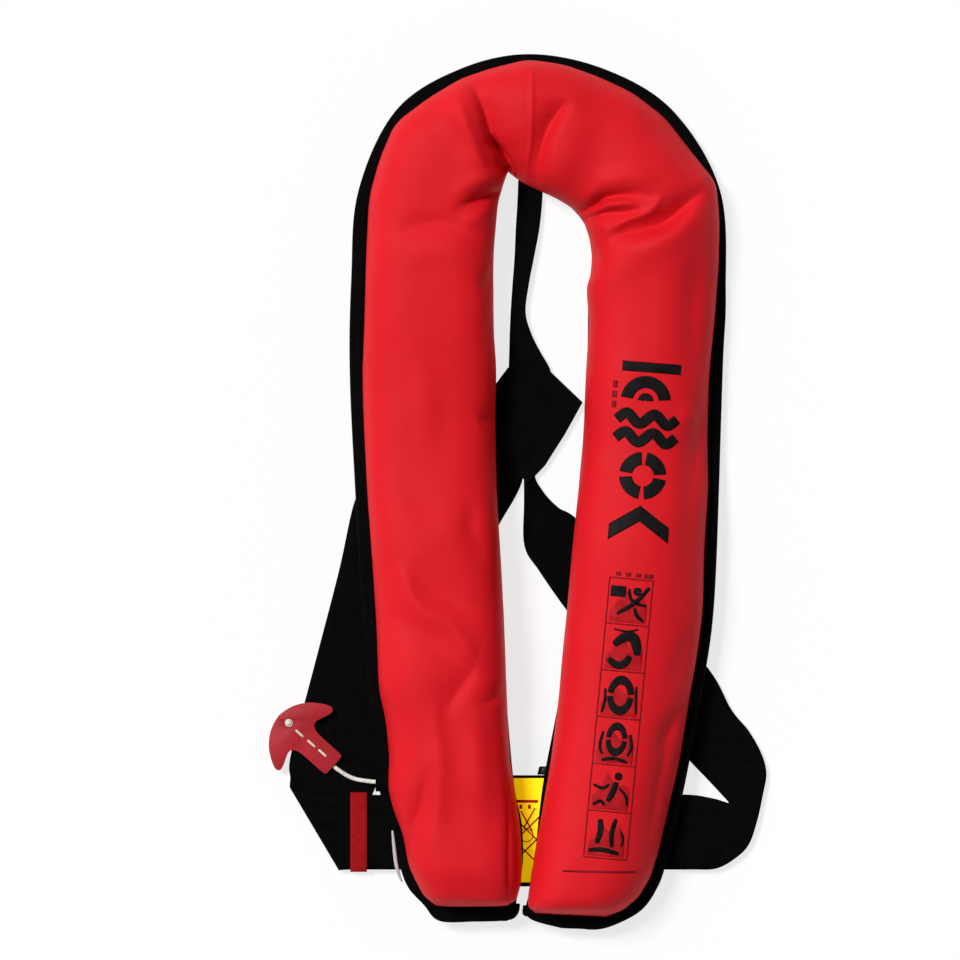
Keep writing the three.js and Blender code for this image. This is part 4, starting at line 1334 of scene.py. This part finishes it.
def mark_shapes():
    """A plain sea mark: a chevron, a lifebuoy in four quarters, waves and a rising sun."""
    shapes = [chevron(-63, 21, 14, 11)]
    shapes += [arc(0, -17, 7.5, 16.5, q + 7, q + 83) for q in (0, 90, 180, 270)]
    for y in (8, 21):
        wave = [(-21, y), (-14, y + 5), (-5, y - 2), (5, y + 5), (14, y - 2), (21, y + 3)]
        shapes.append(stroke(wave, 7.5, 0.9, 40))
    shapes.append(arc(-2, 35, 9, 17.5, 6, 174))
    shapes.append(arc(-2, 35, 0.5, 5.5, 2, 178))
    shapes.append(bar(-20, 21, 55, 62))
    return shapes


def sign_shapes(reach, cell):
    """Six wordless pictures of putting the jacket on, from the top cell down."""
    def middle(k):
        return reach - (k + 0.5) * cell

    y = middle(0)
    shapes = [bar(-13.5, -3, y + 3, y + 10.5), arc(5, y + 7.5, 0.3, 3.0, 0, 350),
              stroke([(13, y + 11), (7, y + 3), (2, y - 2), (-8, y - 9)], 3.2),
              stroke([(12, y - 2), (6, y - 1), (1, y + 2), (-1, y + 9)], 2.4),
              stroke([(4, y - 4), (6, y - 9), (11, y - 13)], 2.6)]
    y = middle(1)
    shapes += [stroke([(-8, y + 2), (-1, y + 8), (5, y + 8), (8, y + 2), (9, y - 4)], 7.5, 0.3),
               stroke([(-11, y - 8), (-4, y - 12), (1, y - 10), (4, y - 5)], 5.5, 0.5),
               stroke([(-9, y + 13), (0, y + 12), (8, y + 14)], 1.4)]
    y = middle(2)
    shapes += [*split_ring(0, y, 5, 9.2, 1.5),
               stroke([(-12, y - 13), (-10.5, y - 4), (-11, y + 4)], 2.0),
               stroke([(12, y - 12), (11, y - 3), (10.5, y + 7)], 1.8)]
    y = middle(3)
    shapes += [*split_ring(0, y + 2, 4, 7.4, 1.6),
               stroke([(-9, y - 9), (-11, y - 3), (-9.5, y + 7)], 2.2),
               stroke([(8.5, y - 9), (11, y - 3), (9.5, y + 6)], 2.2),
               stroke([(-9, y - 13), (0, y - 11.5), (9, y - 13.5)], 2.6)]
    y = middle(4)
    shapes += [arc(4, y + 9, 0.3, 2.8, 0, 350), stroke([(3, y + 5), (1, y - 2), (-2, y - 9)], 4.4),
               stroke([(-13, y + 2), (-6, y), (-2, y + 3)], 2.2),
               stroke([(5, y + 1), (10, y - 4), (12, y - 11)], 2.0),
               stroke([(-12, y - 12), (-7, y - 9), (-4, y - 12)], 2.2)]
    y = middle(5)
    shapes += [stroke([(-6, y + 11), (-5, y + 3), (-7, y - 6)], 4.2),
               stroke([(5, y + 12), (3, y + 2), (4, y - 8)], 3.4),
               stroke([(-12, y - 11), (-2, y - 10), (9, y - 12)], 3.4),
               stroke([(9, y + 4), (11, y - 1), (10.5, y - 7)], 1.8)]
    return shapes


def shade_shapes(reach, cell):
    """Darker patches behind the pictures."""
    shapes = []
    for k in range(6):
        y = reach - (k + 0.5) * cell
        lean = 3 * math.sin(2.1 * k)
        shapes.append([(-13, y - 14.5), (12.5, y - 14.5), (12.5, y - 2 + lean), (8, y + 6 - lean), (2, y + 2),
                       (-4, y + 9 + lean), (-9, y - 1), (-13, y - 6)])
    return shapes


def make_prints(top):
    """A plain geometric mark above, and a panel of wordless use pictures below."""
    drape("lobe_mark", tilted(MARK_CENTRE, MARK_TILT, mark_shapes()), top, BLACK_INK, 0.3)
    small = [bar(-25.5, -22.3, y, y + 4.6) for y in (29, 36, 43)]
    drape("lobe_mark_small", tilted(MARK_CENTRE, MARK_TILT, small), top, DARK_RED_INK, 0.3)

    half, reach = SIGNS_HALF, SIGNS_LENGTH / 2
    line = 0.8
    cell = SIGNS_LENGTH / 6
    lines = [bar(-half, -half + line, -reach, reach), bar(half - line, half, -reach, reach)]
    inner = half - line
    lines += [bar(-inner, inner, -reach + k * cell, -reach + k * cell + line) for k in range(6)]
    lines += [bar(-inner, inner, reach - line, reach)]
    lines += [bar(x, x + 3.2, reach + 1.2, reach + 3.8) for x in (-11, -4, 3)]
    lines.append(bar(8.5, 15, reach + 1, reach + 4))
    layers = (
        ("panel_lines", lines, DARK_RED_INK, 0.3),
        ("panel_shades", shade_shapes(reach, cell), SHADE_INK, 0.12),
        ("panel_signs", sign_shapes(reach, cell), BLACK_INK, 0.42),
    )
    for name, shapes, ink, lift in layers:
        drape(name, tilted(SIGNS_CENTRE, SIGNS_TILT, shapes), top, ink, lift)
    seam = [(31, -264.6), (82, -265.8), (82, -264.4), (31, -263.2)]
    drape("foot_seam_line", [seam], top, DARK_RED_INK, 0.3)


LABEL_FOOT = -274
LABEL_HEIGHT = 73
LABEL_ROWS = 40
LABEL_COLUMNS = 14
LABEL_INK_Z = 14.42


def make_label():
    """The yellow label, wider at its top, on its black backing."""
    outline = [(-10, -277), (26, -277), (30, -199), (-12, -199)]
    backing = plate("label_backing_cloth", outline, BACKING_Z, BLACK)
    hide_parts("label_backing")
    points = []
    for share in np.linspace(0, 1, LABEL_ROWS):
        y = LABEL_FOOT + LABEL_HEIGHT * share
        for x in np.linspace(-6 - 3 * share, 22 + 3 * share, LABEL_COLUMNS):
            points.append((x, y, 13.95 + 0.25 * noise.noise(Vector((x, y, 0)) / 14)))
    faces = grid_faces(LABEL_ROWS, LABEL_COLUMNS)
    label = make_piece("label_patch", points, faces, LABEL)
    orient_up(label)
    thicken(label, 0.5)
    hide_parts("yellow_label")


def thin_line(start, finish, width=1.0):
    """A straight line in ink, as an outline."""
    start, finish = Vector(start), Vector(finish)
    along = (finish - start).normalized()
    side = Vector((-along.y, along.x)) * (width / 2)
    return [tuple(p) for p in (start + side, start - side, finish - side, finish + side)]


def make_label_print():
    """A heading bar, and crossed lines round a ring: no lettering."""
    shapes = [bar(-1, 14, -218.2, -216.2), bar(1, 3, -222.5, -219.5), bar(7, 9, -222.5, -219.5)]
    crossings = (
        ((-3, -228), (17, -248)), ((17, -226), (-3, -246)), ((-3, -244), (15, -262)),
        ((15, -242), (-3, -260)), ((2, -224), (10, -238)), ((12, -222), (4, -236)),
    )
    shapes += [thin_line(start, finish) for start, finish in crossings]
    shapes += [arc(6, -241, 4.2, 4.9, start + 4, start + 176) for start in (0, 180)]
    points, faces = [], []
    for shape in shapes:
        faces.append(tuple(range(len(points), len(points) + len(shape))))
        points += [(x, y, LABEL_INK_Z) for x, y in shape]
    ink = make_piece("label_print", points, faces, LABEL_INK)
    orient_up(ink)
    thicken(ink, 0.1)


# ---------------------------------------------------------------------------------------
# CAD nodes that stay, or are only softened

def soften_node(node, bevel_mm, body):
    """A copy of a moulded CAD node with softened edges, in its place."""
    piece = node_copy(node + "_moulding", node, BLACK_PLASTIC)
    with editing(piece.data) as work:
        bmesh.ops.remove_doubles(work, verts=work.verts, dist=WELD_M)
        bmesh.ops.dissolve_limit(work, angle_limit=math.radians(1), verts=work.verts, edges=work.edges)
    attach(piece, body)
    soften(piece, bevel_mm, 3, 25)
    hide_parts(node)


def dress_nodes():
    soften_node("buckle_socket", 1.4, "jacket")
    soften_node("buckle_plug", 1.2, "plug")
    soften_node("buckle_prong_upper", 0.5, "prong_upper")
    soften_node("buckle_prong_lower", 0.5, "prong_lower")
    soften_node("press_stud", 0.3, "jacket")
    finishes = {
        "black_plastic": BLACK_PLASTIC, "steel": STEEL, "yellow_fabric": BLADDER_CLOTH,
        "yellow_plastic": YELLOW_PLASTIC, "black_fabric": BLACK, "black_webbing": WEB, "strip_grey": PIPING,
        "red_fabric": RED, "label_yellow": LABEL, "keeper_red": KEEPER, "toggle_red": TOGGLE_RED,
        "cord_white": CORD,
    }
    for part in frame["record"]["subparts"]:
        node = frame["nodes"][part["node"]]
        node.data.materials.clear()
        node.data.materials.append(finishes[part["material_slot"]])


make_camera()
make_stage()
toggle_pieces = make_toggle()
make_cord()
make_cord_tunnel()
cover_top = make_cover()
make_bladder(cover_top)
make_panel()
make_binding()
make_left_webbing()
make_right_webbing()
make_yoke()
make_stud_tab()
make_edge_strip()
make_keeper()
make_belt_loops()
make_prints(cover_top)
make_label()
make_label_print()
dress_nodes()
